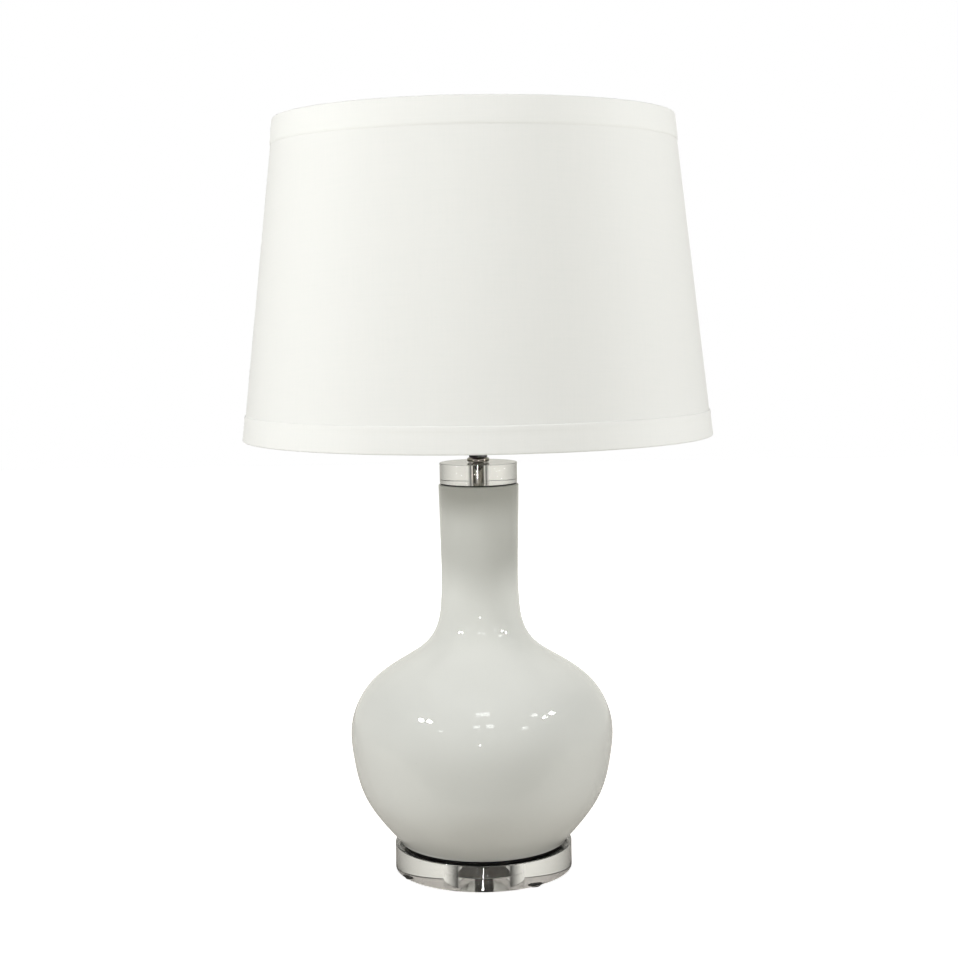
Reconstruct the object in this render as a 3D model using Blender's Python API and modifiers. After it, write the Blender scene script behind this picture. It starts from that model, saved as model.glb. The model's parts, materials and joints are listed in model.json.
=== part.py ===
"""Table lamp: glazed ceramic bottle on a clear acrylic base, with a tapered drum shade.

Metres, +Z up.  The origin is on the table, under the middle of the base.  A threaded
pipe runs up the middle and clamps base, ceramic body, acrylic neck cap and socket.
The shade hangs on a harp whose legs stand in front of and behind the bulb.
"""
from math import cos, pi, radians, sin

import bmesh
import bpy
import numpy as np
from mathutils import Vector

MM = 0.001
GAP = 0.3 * MM              # clearance left between pieces that touch
STEPS = 32                  # facets round a small turned piece
FINE_STEPS = 48             # facets round the shade, the body and the base

# Base
PAD_RADIUS = 7.0 * MM
PAD_HEIGHT = 1.3 * MM
PAD_CIRCLE = 69.5 * MM
PAD_ANGLES = [207, 307, 27, 127]
BASE_RADIUS = 78.2 * MM
BASE_THICKNESS = 22.8 * MM
BASE_EDGE = 0.8 * MM
RECESS_RADIUS = 23.6 * MM
RECESS_DEPTH = 17.5 * MM
ACRYLIC_BORE = 6.35 * MM

# Threaded pipe and its clamping hardware
PIPE_RADIUS = 4.9 * MM
PIPE_BORE = 3.4 * MM
PIPE_CLEARANCE = 5.2 * MM   # radius of the holes that the pipe passes
PIPE_BOTTOM = 4.5 * MM
WASHER_RADIUS = 21.5 * MM
WASHER_THICKNESS = 1.6 * MM
LOCK_WASHER_RADIUS = 8.5 * MM
LOCK_WASHER_THICKNESS = 0.9 * MM
NUT_HEIGHT = 10.0 * MM
NUT_CORNER_RADIUS = 9.1 * MM

# Ceramic body: (height above the table, outer radius), joined by a smooth curve
BODY_OUTLINE = [
    (26.6, 72.9),           # foot
    (66.6, 103.2),          # underside of the belly
    (101.6, 113.2),
    (131.6, 114.6),         # widest
    (151.6, 108.0),
    (167.6, 96.4),          # shoulder
    (181.6, 78.3),
    (196.6, 54.6),          # shoulder meets neck
    (213.6, 40.0),
    (236.6, 34.6),
    (281.6, 33.8),          # narrowest part of the neck
    (342.1, 35.1),          # lip
]
BODY_WALL = 6.0 * MM
BODY_HOLE = 7.0 * MM
LIP_ROUND = 1.0 * MM
FOOT_ROUND = 2.0 * MM
FOOT_SEAT_RADIUS = 71.5 * MM
FOOT_SEAT_BORE = 30.0 * MM
FOOT_SEAT_THICKNESS = 1.6 * MM

# Acrylic neck cap and the metal above it
LIP_GASKET_RADIUS = 33.2 * MM
LIP_GASKET_BORE = 20.0 * MM
LIP_GASKET_THICKNESS = 0.5 * MM
CAP_RADIUS = 33.9 * MM
CAP_THICKNESS = 17.6 * MM
CAP_EDGE = 0.5 * MM
COLLAR_RADIUS = 9.85 * MM
COLLAR_HEIGHT = 3.9 * MM
SPACER_RADIUS = 8.0 * MM
SPACER_HEIGHT = 3.3 * MM

# Harp saddle: a strip across the pipe, turned up at both ends
SADDLE_THICKNESS = 1.6 * MM
SADDLE_HUB_WIDTH = 16.0 * MM
SADDLE_POST_WIDTH = 4.0 * MM
SADDLE_HALF_SPAN = 26.0 * MM
SADDLE_POST_HEIGHT = 20.0 * MM
SADDLE_BEND = 5.0 * MM

# Socket
SOCKET_HUB_RADIUS = 8.0 * MM
SOCKET_CAP_RADIUS = 17.6 * MM
SHELL_RADIUS = 16.3 * MM
SHELL_WALL = 0.6 * MM
SHELL_LENGTH = 46.0 * MM
LINER_RADIUS = 15.4 * MM
LINER_WALL = 0.5 * MM
CORE_RADIUS = 14.6 * MM
CORE_HEIGHT = 17.0 * MM
CORE_FLAT = 11.5 * MM
SCREW_SHELL_RADIUS = 14.0 * MM
SCREW_SHELL_WALL = 0.45 * MM
SCREW_SHELL_HEIGHT = 24.0 * MM
STEM_RADIUS = 1.8 * MM
STEM_HOLE = 2.3 * MM
KNOB_RADIUS = 5.5 * MM
KNOB_LENGTH = 15.0 * MM

# Bulb
BULB_BASE_RADIUS = 13.1 * MM
BULB_BASE_HEIGHT = 25.0 * MM
BULB_WALL = 0.8 * MM
# (height above the bulb's tip, outer radius) of the glass envelope
BULB_OUTLINE = [
    (12.0, 11.9),
    (27.0, 12.2),
    (45.0, 18.5),
    (62.0, 27.2),
    (78.0, 30.0),
    (93.0, 26.0),
    (103.0, 16.0),
]
BULB_TOP = 107.0 * MM

# Harp, its sleeves and its swivelling stud
HARP_HEIGHT = 266.7 * MM
HARP_WIRE = 1.6 * MM
HARP_BOW = 57.0 * MM
SLEEVE_BORE = 3.7 * MM
SLEEVE_RADIUS = 4.5 * MM
SLEEVE_LENGTH = 14.0 * MM
STUD_SEAT_RADIUS = 7.0 * MM
STUD_SEAT_THICKNESS = 3.0 * MM
STUD_RADIUS = 3.1 * MM
STUD_LENGTH = 15.0 * MM

# Finial
FINIAL_HEIGHT = 17.0 * MM
FINIAL_FOOT_RADIUS = 8.5 * MM
FINIAL_BALL_RADIUS = 6.6 * MM
FINIAL_BORE = 3.5 * MM

# Shade, measured over its trims
SHADE_BOTTOM = 383.8 * MM
SHADE_TOP = 655.4 * MM
SHADE_BOTTOM_RADIUS = 203.2 * MM
SHADE_TOP_RADIUS = 171.5 * MM
TRIM_HEIGHT = 22.0 * MM
TRIM_THICKNESS = 0.7 * MM
FABRIC_THICKNESS = 0.5 * MM
STYRENE_THICKNESS = 0.5 * MM
RING_WIRE = 1.3 * MM
SPIDER_WASHER_RADIUS = 13.0 * MM
SPIDER_WASHER_BORE = 3.5 * MM
SPIDER_WASHER_THICKNESS = 1.5 * MM
SPIDER_WIRE = 1.4 * MM
SPIDER_ARM_ANGLES = [0, 120, 240]

# Heights of the stack, worked out from the pieces below
BASE_BOTTOM = PAD_HEIGHT + GAP
BASE_TOP = BASE_BOTTOM + BASE_THICKNESS
RECESS_TOP = BASE_BOTTOM + RECESS_DEPTH
WASHER_BOTTOM = RECESS_TOP - GAP - WASHER_THICKNESS
LOCK_WASHER_BOTTOM = WASHER_BOTTOM - GAP - LOCK_WASHER_THICKNESS
NUT_BOTTOM = LOCK_WASHER_BOTTOM - GAP - NUT_HEIGHT
BODY_BOTTOM = BODY_OUTLINE[0][0] * MM
BODY_TOP = BODY_OUTLINE[-1][0] * MM
CAP_BOTTOM = BODY_TOP + LIP_GASKET_THICKNESS + 2 * GAP
CAP_TOP = CAP_BOTTOM + CAP_THICKNESS
COLLAR_BOTTOM = CAP_TOP + GAP
SPACER_BOTTOM = COLLAR_BOTTOM + COLLAR_HEIGHT + GAP
SADDLE_BOTTOM = SPACER_BOTTOM + SPACER_HEIGHT + GAP
SOCKET_BOTTOM = SADDLE_BOTTOM + SADDLE_THICKNESS + GAP
PIPE_TOP = SOCKET_BOTTOM + 6.0 * MM
SOCKET_CAP_FLARE = SOCKET_BOTTOM + 9.0 * MM
SOCKET_CAP_TOP = SOCKET_BOTTOM + 26.0 * MM
SHELL_BOTTOM = SOCKET_BOTTOM + 20.6 * MM
CORE_BOTTOM = SHELL_BOTTOM + 1.0 * MM
SCREW_SHELL_BOTTOM = CORE_BOTTOM + CORE_HEIGHT + GAP
STEM_HEIGHT = CORE_BOTTOM + 10.0 * MM
CONTACT_HEIGHT = 1.7 * MM
BULB_TIP = SCREW_SHELL_BOTTOM + CONTACT_HEIGHT + GAP
HARP_SEAT = SADDLE_BOTTOM + HARP_HEIGHT
STUD_SEAT_BOTTOM = HARP_SEAT - STUD_SEAT_THICKNESS
HARP_CROWN = STUD_SEAT_BOTTOM - GAP - HARP_WIRE
HARP_LEG = SADDLE_HALF_SPAN + SADDLE_THICKNESS / 2 + GAP + HARP_WIRE
HARP_FOOT = SADDLE_BOTTOM + 13.0 * MM
SLEEVE_MIDDLE = HARP_LEG - 0.95 * MM
SLEEVE_BOTTOM = SADDLE_BOTTOM + 9.0 * MM
SPIDER_BOTTOM = HARP_SEAT + GAP
FINIAL_BOTTOM = SPIDER_BOTTOM + SPIDER_WASHER_THICKNESS + GAP

# Colours: linear red, green, blue
WHITE_GLAZE = (0.80, 0.80, 0.78)
CLEAR = (0.97, 0.98, 0.98)
BLACK = (0.02, 0.02, 0.02)
NICKEL = (0.62, 0.60, 0.56)
STEEL = (0.50, 0.50, 0.50)
BRASS = (0.70, 0.52, 0.24)
ALUMINIUM = (0.75, 0.75, 0.76)
CARD = (0.45, 0.36, 0.26)
OPAL = (0.92, 0.92, 0.90)
LINEN = (0.88, 0.87, 0.84)
STYRENE = (0.90, 0.90, 0.88)


def clear_scene():
    for obj in list(bpy.data.objects):
        bpy.data.objects.remove(obj)


def new_collection(name):
    made = bpy.data.collections.new(name)
    bpy.context.scene.collection.children.link(made)
    return made


clear_scene()
LAMP = new_collection("table_lamp")
CUTTERS = new_collection("cutters")


def material(name, colour, roughness, metallic=0.0, transmission=0.0):
    made = bpy.data.materials.new(name)
    made.use_nodes = True
    shader = made.node_tree.nodes["Principled BSDF"]
    shader.inputs["Base Color"].default_value = (*colour, 1.0)
    shader.inputs["Roughness"].default_value = roughness
    shader.inputs["Metallic"].default_value = metallic
    shader.inputs["Transmission Weight"].default_value = transmission
    return made


def finish(obj, finish_material):
    """Give an object its material and smooth shading, and put it with the lamp."""
    LAMP.objects.link(obj)
    obj.data.materials.append(finish_material)
    obj.data.shade_smooth()
    return obj


def mesh_object(name, bm, finish_material):
    mesh = bpy.data.meshes.new(name)
    bm.to_mesh(mesh)
    bm.free()
    obj = finish(bpy.data.objects.new(name, mesh), finish_material)
    mesh.set_sharp_from_angle(angle=radians(40))
    return obj


def arc(centre, radius, start, end, count):
    """Points (r, z) of an arc about a centre, its angles in degrees from +r."""
    angles = [radians(start + (end - start) * i / (count - 1)) for i in range(count)]
    return [(centre[0] + radius * cos(a), centre[1] + radius * sin(a)) for a in angles]


def spline_value(knots, values, at):
    """A natural cubic spline through (knots, values), read at the given places."""
    knots = np.array(knots, float)
    values = np.array(values, float)
    step = np.diff(knots)
    slope = np.diff(values) / step
    size = len(knots)
    system = np.eye(size)
    right = np.zeros(size)
    for i in range(1, size - 1):
        system[i, i - 1:i + 2] = step[i - 1], 2 * (step[i - 1] + step[i]), step[i]
        right[i] = 6 * (slope[i] - slope[i - 1])
    bend = np.linalg.solve(system, right)
    cell = np.clip(np.searchsorted(knots, at, side="right") - 1, 0, size - 2)
    low = at - knots[cell]
    high = knots[cell + 1] - at
    width = step[cell]
    cubic = (bend[cell] * high ** 3 + bend[cell + 1] * low ** 3) / (6 * width)
    from_left = (values[cell] / width - bend[cell] * width / 6) * high
    from_right = (values[cell + 1] / width - bend[cell + 1] * width / 6) * low
    return cubic + from_left + from_right


def smooth_path(points, count):
    """Evenly spread points on a smooth curve through the given points."""
    points = np.array(points, float)
    run = np.concatenate([[0], np.cumsum(np.linalg.norm(np.diff(points, axis=0), axis=1))])
    at = np.linspace(0, run[-1], count)
    return np.stack([spline_value(run, column, at) for column in points.T], axis=1)


def turned(name, profile, finish_material, steps=STEPS, closed=False):
    """Turn a profile of (r, z) points about the Z axis, outer side top to bottom."""
    mesh = bpy.data.meshes.new(name)
    count = len(profile)
    edges = [(i, i + 1) for i in range(count - 1)]
    if closed:
        edges.append((count - 1, 0))
    mesh.from_pydata([(r, 0, z) for r, z in profile], edges, [])
    obj = finish(bpy.data.objects.new(name, mesh), finish_material)
    screw = obj.modifiers.new("turn", "SCREW")
    screw.axis = "Z"
    screw.angle = 2 * pi
    screw.steps = steps
    screw.render_steps = steps
    screw.use_merge_vertices = True
    screw.merge_threshold = 0.00001
    screw.use_smooth_shade = True
    return obj


def ring(name, inner, outer, bottom, top, finish_material, steps=STEPS, edge=0.0):
    """A flat ring or a tube, with bevelled corners where an edge size is given."""
    if edge:
        profile = [(outer - edge, top), (outer, top - edge)]
        profile += [(outer, bottom + edge), (outer - edge, bottom)]
    else:
        profile = [(outer, top), (outer, bottom)]
    profile += [(inner, bottom), (inner, top)]
    return turned(name, profile, finish_material, steps, closed=True)


def cylinder(name, radius, length, middle, direction, finish_material, sides=16):
    """A cylinder along a direction, centred on a point."""
    bm = bmesh.new()
    bmesh.ops.create_cone(bm, cap_ends=True, segments=sides, radius1=radius,
                          radius2=radius, depth=length)
    obj = mesh_object(name, bm, finish_material)
    obj.location = middle
    obj.rotation_euler = Vector(direction).to_track_quat("Z", "Y").to_euler()
    return obj


def box(name, size, middle, finish_material):
    bm = bmesh.new()
    bmesh.ops.create_cube(bm, size=1.0)
    bmesh.ops.scale(bm, vec=size, verts=bm.verts)
    obj = mesh_object(name, bm, finish_material)
    obj.location = middle
    return obj


def wire(name, points, radius, finish_material, sides_level=2, cyclic=False):
    """A round wire along a path."""
    curve = bpy.data.curves.new(name, "CURVE")
    curve.dimensions = "3D"
    curve.bevel_depth = radius
    curve.bevel_resolution = sides_level
    curve.use_fill_caps = not cyclic
    spline = curve.splines.new("POLY")
    spline.points.add(len(points) - 1)
    for point, place in zip(spline.points, points):
        point.co = (*place, 1.0)
    spline.use_cyclic_u = cyclic
    obj = bpy.data.objects.new(name, curve)
    LAMP.objects.link(obj)
    curve.materials.append(finish_material)
    return obj


def as_mesh(curve_object):
    """Replace a wire by a mesh with welded caps, so that it can be cut or joined."""
    name = curve_object.name
    bpy.context.view_layer.update()
    graph = bpy.context.evaluated_depsgraph_get()
    mesh = bpy.data.meshes.new_from_object(curve_object.evaluated_get(graph))
    bm = bmesh.new()
    bm.from_mesh(mesh)
    bmesh.ops.remove_doubles(bm, verts=bm.verts, dist=0.00001)
    bm.to_mesh(mesh)
    bm.free()
    place = curve_object.matrix_world.copy()
    bpy.data.objects.remove(curve_object)
    obj = bpy.data.objects.new(name, mesh)
    obj.matrix_world = place
    LAMP.objects.link(obj)
    return obj


def combine(obj, tool, operation):
    """Cut, or join, an object with another, which becomes a hidden guide."""
    step = obj.modifiers.new(tool.name, "BOOLEAN")
    step.operation = operation
    step.object = tool
    LAMP.objects.unlink(tool)
    CUTTERS.objects.link(tool)
    tool.hide_render = True
    tool.display_type = "WIRE"


def on_axis(name, joint_place, *pieces):
    """Hang moving pieces on an empty that stands on their joint's axis."""
    pivot = bpy.data.objects.new(name, None)
    pivot.location = joint_place
    LAMP.objects.link(pivot)
    bpy.context.view_layer.update()
    for piece in pieces:
        piece.parent = pivot
        piece.matrix_parent_inverse = pivot.matrix_world.inverted()


GLAZE = material("white_glaze", WHITE_GLAZE, 0.05)
ACRYLIC = material("clear_acrylic", CLEAR, 0.0, transmission=1.0)
BLACK_RUBBER = material("black_rubber", BLACK, 0.7)
BLACK_PLASTIC = material("black_plastic", BLACK, 0.25)
POLISHED_NICKEL = material("polished_nickel", NICKEL, 0.12, metallic=1.0)
PLATED_STEEL = material("plated_steel", STEEL, 0.3, metallic=1.0)
YELLOW_BRASS = material("brass", BRASS, 0.3, metallic=1.0)
BARE_ALUMINIUM = material("aluminium", ALUMINIUM, 0.35, metallic=1.0)
FIBRE_CARD = material("fibre_card", CARD, 0.8)
OPAL_GLASS = material("opal_glass", OPAL, 0.25)
WHITE_LINEN = material("white_linen", LINEN, 0.9)
WHITE_STYRENE = material("white_styrene", STYRENE, 0.4)


def build_base():
    for number, angle in enumerate(PAD_ANGLES, start=1):
        place = (PAD_CIRCLE * cos(radians(angle)), PAD_CIRCLE * sin(radians(angle)),
                 PAD_HEIGHT / 2)
        cylinder(f"foot_pad_{number}", PAD_RADIUS, PAD_HEIGHT, place, (0, 0, 1),
                 BLACK_RUBBER, sides=24)
    outer = [(BASE_RADIUS - BASE_EDGE, BASE_TOP), (BASE_RADIUS, BASE_TOP - BASE_EDGE)]
    outer += [(BASE_RADIUS, BASE_BOTTOM + BASE_EDGE), (BASE_RADIUS - BASE_EDGE, BASE_BOTTOM)]
    recess = [(RECESS_RADIUS, BASE_BOTTOM), (RECESS_RADIUS, RECESS_TOP)]
    bore = [(ACRYLIC_BORE, RECESS_TOP), (ACRYLIC_BORE, BASE_TOP)]
    turned("base_disc", outer + recess + bore, ACRYLIC, FINE_STEPS, closed=True)


def build_clamp():
    ring("lamp_pipe", PIPE_BORE, PIPE_RADIUS, PIPE_BOTTOM, PIPE_TOP, POLISHED_NICKEL, steps=24)
    ring("base_washer", PIPE_CLEARANCE, WASHER_RADIUS, WASHER_BOTTOM,
         WASHER_BOTTOM + WASHER_THICKNESS, PLATED_STEEL)
    ring("lock_washer", PIPE_CLEARANCE, LOCK_WASHER_RADIUS, LOCK_WASHER_BOTTOM,
         LOCK_WASHER_BOTTOM + LOCK_WASHER_THICKNESS, PLATED_STEEL, steps=24)
    nut = cylinder("base_nut", NUT_CORNER_RADIUS, NUT_HEIGHT,
                   (0, 0, NUT_BOTTOM + NUT_HEIGHT / 2), (0, 0, 1), PLATED_STEEL, sides=6)
    hole = cylinder("nut_hole", PIPE_CLEARANCE, 2 * NUT_HEIGHT, nut.location, (0, 0, 1),
                    PLATED_STEEL, sides=24)
    combine(nut, hole, "DIFFERENCE")


def body_outline(low, high, inset, count):
    """Points (r, z) down the ceramic body's outline, moved in along its slope."""
    heights = [height * MM for height, _ in BODY_OUTLINE]
    radii = [radius * MM for _, radius in BODY_OUTLINE]
    at = np.linspace(high, low, count)
    r = spline_value(heights, radii, at)
    lean = (spline_value(heights, radii, at + MM / 10) - r) / (MM / 10)
    scale = inset / np.sqrt(1 + lean ** 2)
    return list(zip(r - scale, at + scale * lean))


def build_body():
    seat_top = BASE_TOP + GAP + FOOT_SEAT_THICKNESS
    ring("foot_seat", FOOT_SEAT_BORE, FOOT_SEAT_RADIUS, BASE_TOP + GAP, seat_top,
         BLACK_RUBBER, FINE_STEPS)
    wall_top = BODY_TOP - BODY_WALL
    wall_bottom = BODY_BOTTOM + BODY_WALL
    skin = body_outline(BODY_BOTTOM + FOOT_ROUND, BODY_TOP - LIP_ROUND, 0.0, 24)
    lip = arc((skin[0][0] - LIP_ROUND, skin[0][1]), LIP_ROUND, 90, 0, 4)
    foot = arc((skin[-1][0] - FOOT_ROUND, skin[-1][1]), FOOT_ROUND, -35, -90, 4)
    inside = body_outline(wall_bottom, wall_top, BODY_WALL, 12)[::-1]
    profile = [(BODY_HOLE, BODY_TOP)] + lip + skin[1:] + foot + [(BODY_HOLE, BODY_BOTTOM)]
    profile += [(BODY_HOLE, wall_bottom - MM)] + inside + [(BODY_HOLE, wall_top + MM)]
    turned("ceramic_body", profile, GLAZE, FINE_STEPS, closed=True)


def build_neck():
    ring("lip_gasket", LIP_GASKET_BORE, LIP_GASKET_RADIUS, BODY_TOP + GAP,
         BODY_TOP + GAP + LIP_GASKET_THICKNESS, BLACK_RUBBER)
    ring("neck_cap", ACRYLIC_BORE, CAP_RADIUS, CAP_BOTTOM, CAP_TOP, ACRYLIC, FINE_STEPS,
         CAP_EDGE)
    half = COLLAR_HEIGHT / 2
    waist = COLLAR_RADIUS - half
    side = arc((waist, COLLAR_BOTTOM + half), half, 90, -90, 7)
    turned("neck_collar", [(PIPE_CLEARANCE, COLLAR_BOTTOM + COLLAR_HEIGHT)] + side
           + [(PIPE_CLEARANCE, COLLAR_BOTTOM)], POLISHED_NICKEL, closed=True)
    ring("neck_spacer", PIPE_CLEARANCE, SPACER_RADIUS, SPACER_BOTTOM,
         SPACER_BOTTOM + SPACER_HEIGHT, BLACK_PLASTIC, edge=0.3 * MM)


def saddle_stations():
    """(y, z, width) along the middle of the saddle's strip, from its hub to a post."""
    middle = SADDLE_BOTTOM + SADDLE_THICKNESS / 2
    bend = SADDLE_HALF_SPAN - SADDLE_BEND
    shoulder = 0.5 * SADDLE_HUB_WIDTH
    stations = [(0.0, middle, SADDLE_HUB_WIDTH), (shoulder, middle, SADDLE_HUB_WIDTH)]
    stations.append((bend - 2 * MM, middle, 1.6 * SADDLE_POST_WIDTH))
    for y, z in arc((bend, middle + SADDLE_BEND), SADDLE_BEND, -90, 0, 6):
        stations.append((y, z, 1.3 * SADDLE_POST_WIDTH))
    stations.append((SADDLE_HALF_SPAN, middle + SADDLE_POST_HEIGHT, SADDLE_POST_WIDTH))
    return stations


def build_saddle():
    half = saddle_stations()
    stations = [(-y, z, width) for y, z, width in half[:0:-1]] + half
    bm = bmesh.new()
    rows = [[bm.verts.new((side * width / 2, y, z)) for side in (-1, 1)]
            for y, z, width in stations]
    for first, second in zip(rows, rows[1:]):
        bm.faces.new((first[0], first[1], second[1], second[0]))
    saddle = mesh_object("harp_saddle", bm, POLISHED_NICKEL)
    shell = saddle.modifiers.new("strip", "SOLIDIFY")
    shell.thickness = SADDLE_THICKNESS
    shell.offset = 0.0
    shell.use_even_offset = True
    hole = cylinder("saddle_hole", PIPE_CLEARANCE, 4 * SADDLE_THICKNESS,
                    (0, 0, SADDLE_BOTTOM), (0, 0, 1), POLISHED_NICKEL, sides=24)
    combine(saddle, hole, "DIFFERENCE")


def build_socket():
    wall = SHELL_RADIUS + GAP
    outer = [(SOCKET_CAP_RADIUS, SOCKET_CAP_TOP), (SOCKET_CAP_RADIUS, SOCKET_BOTTOM + 19 * MM)]
    outer += [(SOCKET_CAP_RADIUS - 2 * MM, SOCKET_BOTTOM + 15 * MM)]
    outer += [(SOCKET_HUB_RADIUS, SOCKET_CAP_FLARE), (SOCKET_HUB_RADIUS, SOCKET_BOTTOM)]
    inner = [(PIPE_CLEARANCE, SOCKET_BOTTOM), (PIPE_CLEARANCE, SOCKET_CAP_FLARE)]
    inner += [(wall - 2 * MM, SOCKET_BOTTOM + 17 * MM), (wall, SOCKET_BOTTOM + 20 * MM)]
    inner += [(wall, SOCKET_CAP_TOP)]
    cap = turned("socket_cap", outer + inner, POLISHED_NICKEL, closed=True)
    screw_height = SOCKET_BOTTOM + 4 * MM
    hole = cylinder("set_screw_hole", 1.9 * MM, 12 * MM, (-10 * MM, 0, screw_height),
                    (1, 0, 0), PLATED_STEEL)
    combine(cap, hole, "DIFFERENCE")
    cylinder("socket_set_screw", 1.6 * MM, 3.6 * MM, (-7.1 * MM, 0, screw_height),
             (1, 0, 0), PLATED_STEEL)

    shell = ring("socket_shell", SHELL_RADIUS - SHELL_WALL, SHELL_RADIUS, SHELL_BOTTOM,
                 SHELL_BOTTOM + SHELL_LENGTH, POLISHED_NICKEL)
    sleeve = ring("socket_liner", LINER_RADIUS - LINER_WALL, LINER_RADIUS,
                  SHELL_BOTTOM + 0.5 * MM, SHELL_BOTTOM + SHELL_LENGTH - 1.5 * MM, FIBRE_CARD)
    core = cylinder("socket_core", CORE_RADIUS, CORE_HEIGHT,
                    (0, 0, CORE_BOTTOM + CORE_HEIGHT / 2), (0, 0, 1), BLACK_PLASTIC, sides=32)
    for number, obj in enumerate((shell, sleeve, core), start=1):
        hole = cylinder(f"stem_hole_{number}", STEM_HOLE, 20 * MM, (16 * MM, 0, STEM_HEIGHT),
                        (1, 0, 0), BLACK_PLASTIC)
        combine(obj, hole, "DIFFERENCE")
    flat_depth = CORE_RADIUS - CORE_FLAT
    for side, name in ((-1, "terminal_screw_front"), (1, "terminal_screw_back")):
        flat = box(f"flat_{name}", (30 * MM, 2 * flat_depth, 9 * MM),
                   (0, side * CORE_RADIUS, CORE_BOTTOM + 7 * MM), BLACK_PLASTIC)
        combine(core, flat, "DIFFERENCE")
        cylinder(name, 2.8 * MM, 1.8 * MM, (0, side * (CORE_FLAT + 1.2 * MM),
                 CORE_BOTTOM + 7 * MM), (0, 1, 0), YELLOW_BRASS)

    top = SCREW_SHELL_BOTTOM + SCREW_SHELL_HEIGHT
    inside = SCREW_SHELL_RADIUS - SCREW_SHELL_WALL
    cup = [(SCREW_SHELL_RADIUS, top), (SCREW_SHELL_RADIUS, SCREW_SHELL_BOTTOM)]
    cup += [(4.5 * MM, SCREW_SHELL_BOTTOM), (4.5 * MM, SCREW_SHELL_BOTTOM + 0.6 * MM)]
    cup += [(inside, SCREW_SHELL_BOTTOM + 0.6 * MM), (inside, top)]
    turned("screw_shell", cup, YELLOW_BRASS, closed=True)
    cylinder("centre_contact", 3.0 * MM, CONTACT_HEIGHT,
             (0, 0, SCREW_SHELL_BOTTOM + CONTACT_HEIGHT / 2), (0, 0, 1), YELLOW_BRASS)


def build_switch():
    stem_start = 8 * MM
    stem_end = 31 * MM
    stem = cylinder("switch_stem", STEM_RADIUS, stem_end - stem_start,
                    ((stem_start + stem_end) / 2, 0, STEM_HEIGHT), (1, 0, 0), YELLOW_BRASS)
    knob_start = 22 * MM
    knob_side = [(KNOB_RADIUS - 1.5 * MM, KNOB_LENGTH)]
    knob_side += arc((KNOB_RADIUS - 1.7 * MM, KNOB_LENGTH - 1.5 * MM), 1.2 * MM, 70, 0, 4)
    profile = [(0, KNOB_LENGTH)] + knob_side + [(KNOB_RADIUS, 1 * MM), (KNOB_RADIUS, 0)]
    profile += [(STEM_RADIUS + GAP, 0), (STEM_RADIUS + GAP, 9.6 * MM), (0, 9.6 * MM)]
    knob = turned("switch_knob", profile, BLACK_PLASTIC, steps=24)
    knob.location = (knob_start, 0, STEM_HEIGHT)
    knob.rotation_euler = (0, pi / 2, 0)
    on_axis("switch_axis", (0, 0, STEM_HEIGHT), stem, knob)


def build_bulb():
    rim = BULB_TIP + BULB_BASE_HEIGHT
    neck = BULB_OUTLINE[0][1] * MM + GAP
    floor = BULB_TIP + BULB_OUTLINE[0][0] * MM - GAP
    profile = [(0, floor), (neck, floor), (neck, rim), (BULB_BASE_RADIUS, rim)]
    profile += [(BULB_BASE_RADIUS, BULB_TIP + 5.5 * MM), (11.2 * MM, BULB_TIP + 3.6 * MM)]
    profile += [(4.7 * MM, BULB_TIP + 1.2 * MM), (4.7 * MM, BULB_TIP), (0, BULB_TIP)]
    base = turned("bulb_base", profile, BARE_ALUMINIUM)

    heights = [BULB_TIP + height * MM for height, _ in BULB_OUTLINE]
    radii = [radius * MM for _, radius in BULB_OUTLINE]
    outline = smooth_path(list(zip(radii, heights)) + [(0, BULB_TIP + BULB_TOP)], 12)
    outer = [(max(r, 0.0), z) for r, z in outline[::-1]]
    slope = np.gradient(outline, axis=0)
    length = np.linalg.norm(slope, axis=1)
    inner = outline - BULB_WALL * np.stack([slope[:, 1] / length, -slope[:, 0] / length], axis=1)
    inner = [(r, z) for r, z in inner[:-1]] + [(0, BULB_TIP + BULB_TOP - BULB_WALL)]
    globe = turned("bulb_globe", outer + inner, OPAL_GLASS)
    on_axis("bulb_axis", (0, 0, BULB_TIP), base, globe)


def harp_path():
    """Points of the harp's wire, from the front foot over the crown to the back foot."""
    low = SADDLE_BOTTOM
    half = [(HARP_LEG, HARP_FOOT), (HARP_LEG, low + 26 * MM), (HARP_LEG, low + 44 * MM),
            (HARP_LEG + 11 * MM, low + 66 * MM), (HARP_BOW, low + 112 * MM),
            (HARP_BOW - 5 * MM, low + 170 * MM), (HARP_BOW - 20 * MM, low + 225 * MM),
            (HARP_BOW - 38 * MM, HARP_CROWN - 6 * MM), (8 * MM, HARP_CROWN)]
    leg = smooth_path(half, 30)
    front = [(0, -y, z) for y, z in leg]
    back = [(0, y, z) for y, z in leg[::-1]]
    return front + back


def build_harp():
    harp = wire("harp_wire", harp_path(), HARP_WIRE, POLISHED_NICKEL)
    on_axis("harp_axis", (0, 0, SADDLE_BOTTOM), harp)
    for side, name in ((-1, "front"), (1, "back")):
        sleeve = ring(f"harp_sleeve_{name}", SLEEVE_BORE, SLEEVE_RADIUS, 0.0, SLEEVE_LENGTH,
                      POLISHED_NICKEL, steps=24)
        sleeve.location = (0, side * SLEEVE_MIDDLE, SLEEVE_BOTTOM)
    seat = [(0, HARP_SEAT + STUD_LENGTH), (STUD_RADIUS - 0.4 * MM, HARP_SEAT + STUD_LENGTH)]
    seat += [(STUD_RADIUS, HARP_SEAT + STUD_LENGTH - 0.6 * MM), (STUD_RADIUS, HARP_SEAT)]
    seat += [(STUD_SEAT_RADIUS, HARP_SEAT), (STUD_SEAT_RADIUS, STUD_SEAT_BOTTOM)]
    seat += [(0, STUD_SEAT_BOTTOM)]
    turned("harp_stud", seat, POLISHED_NICKEL, steps=24)


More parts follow.
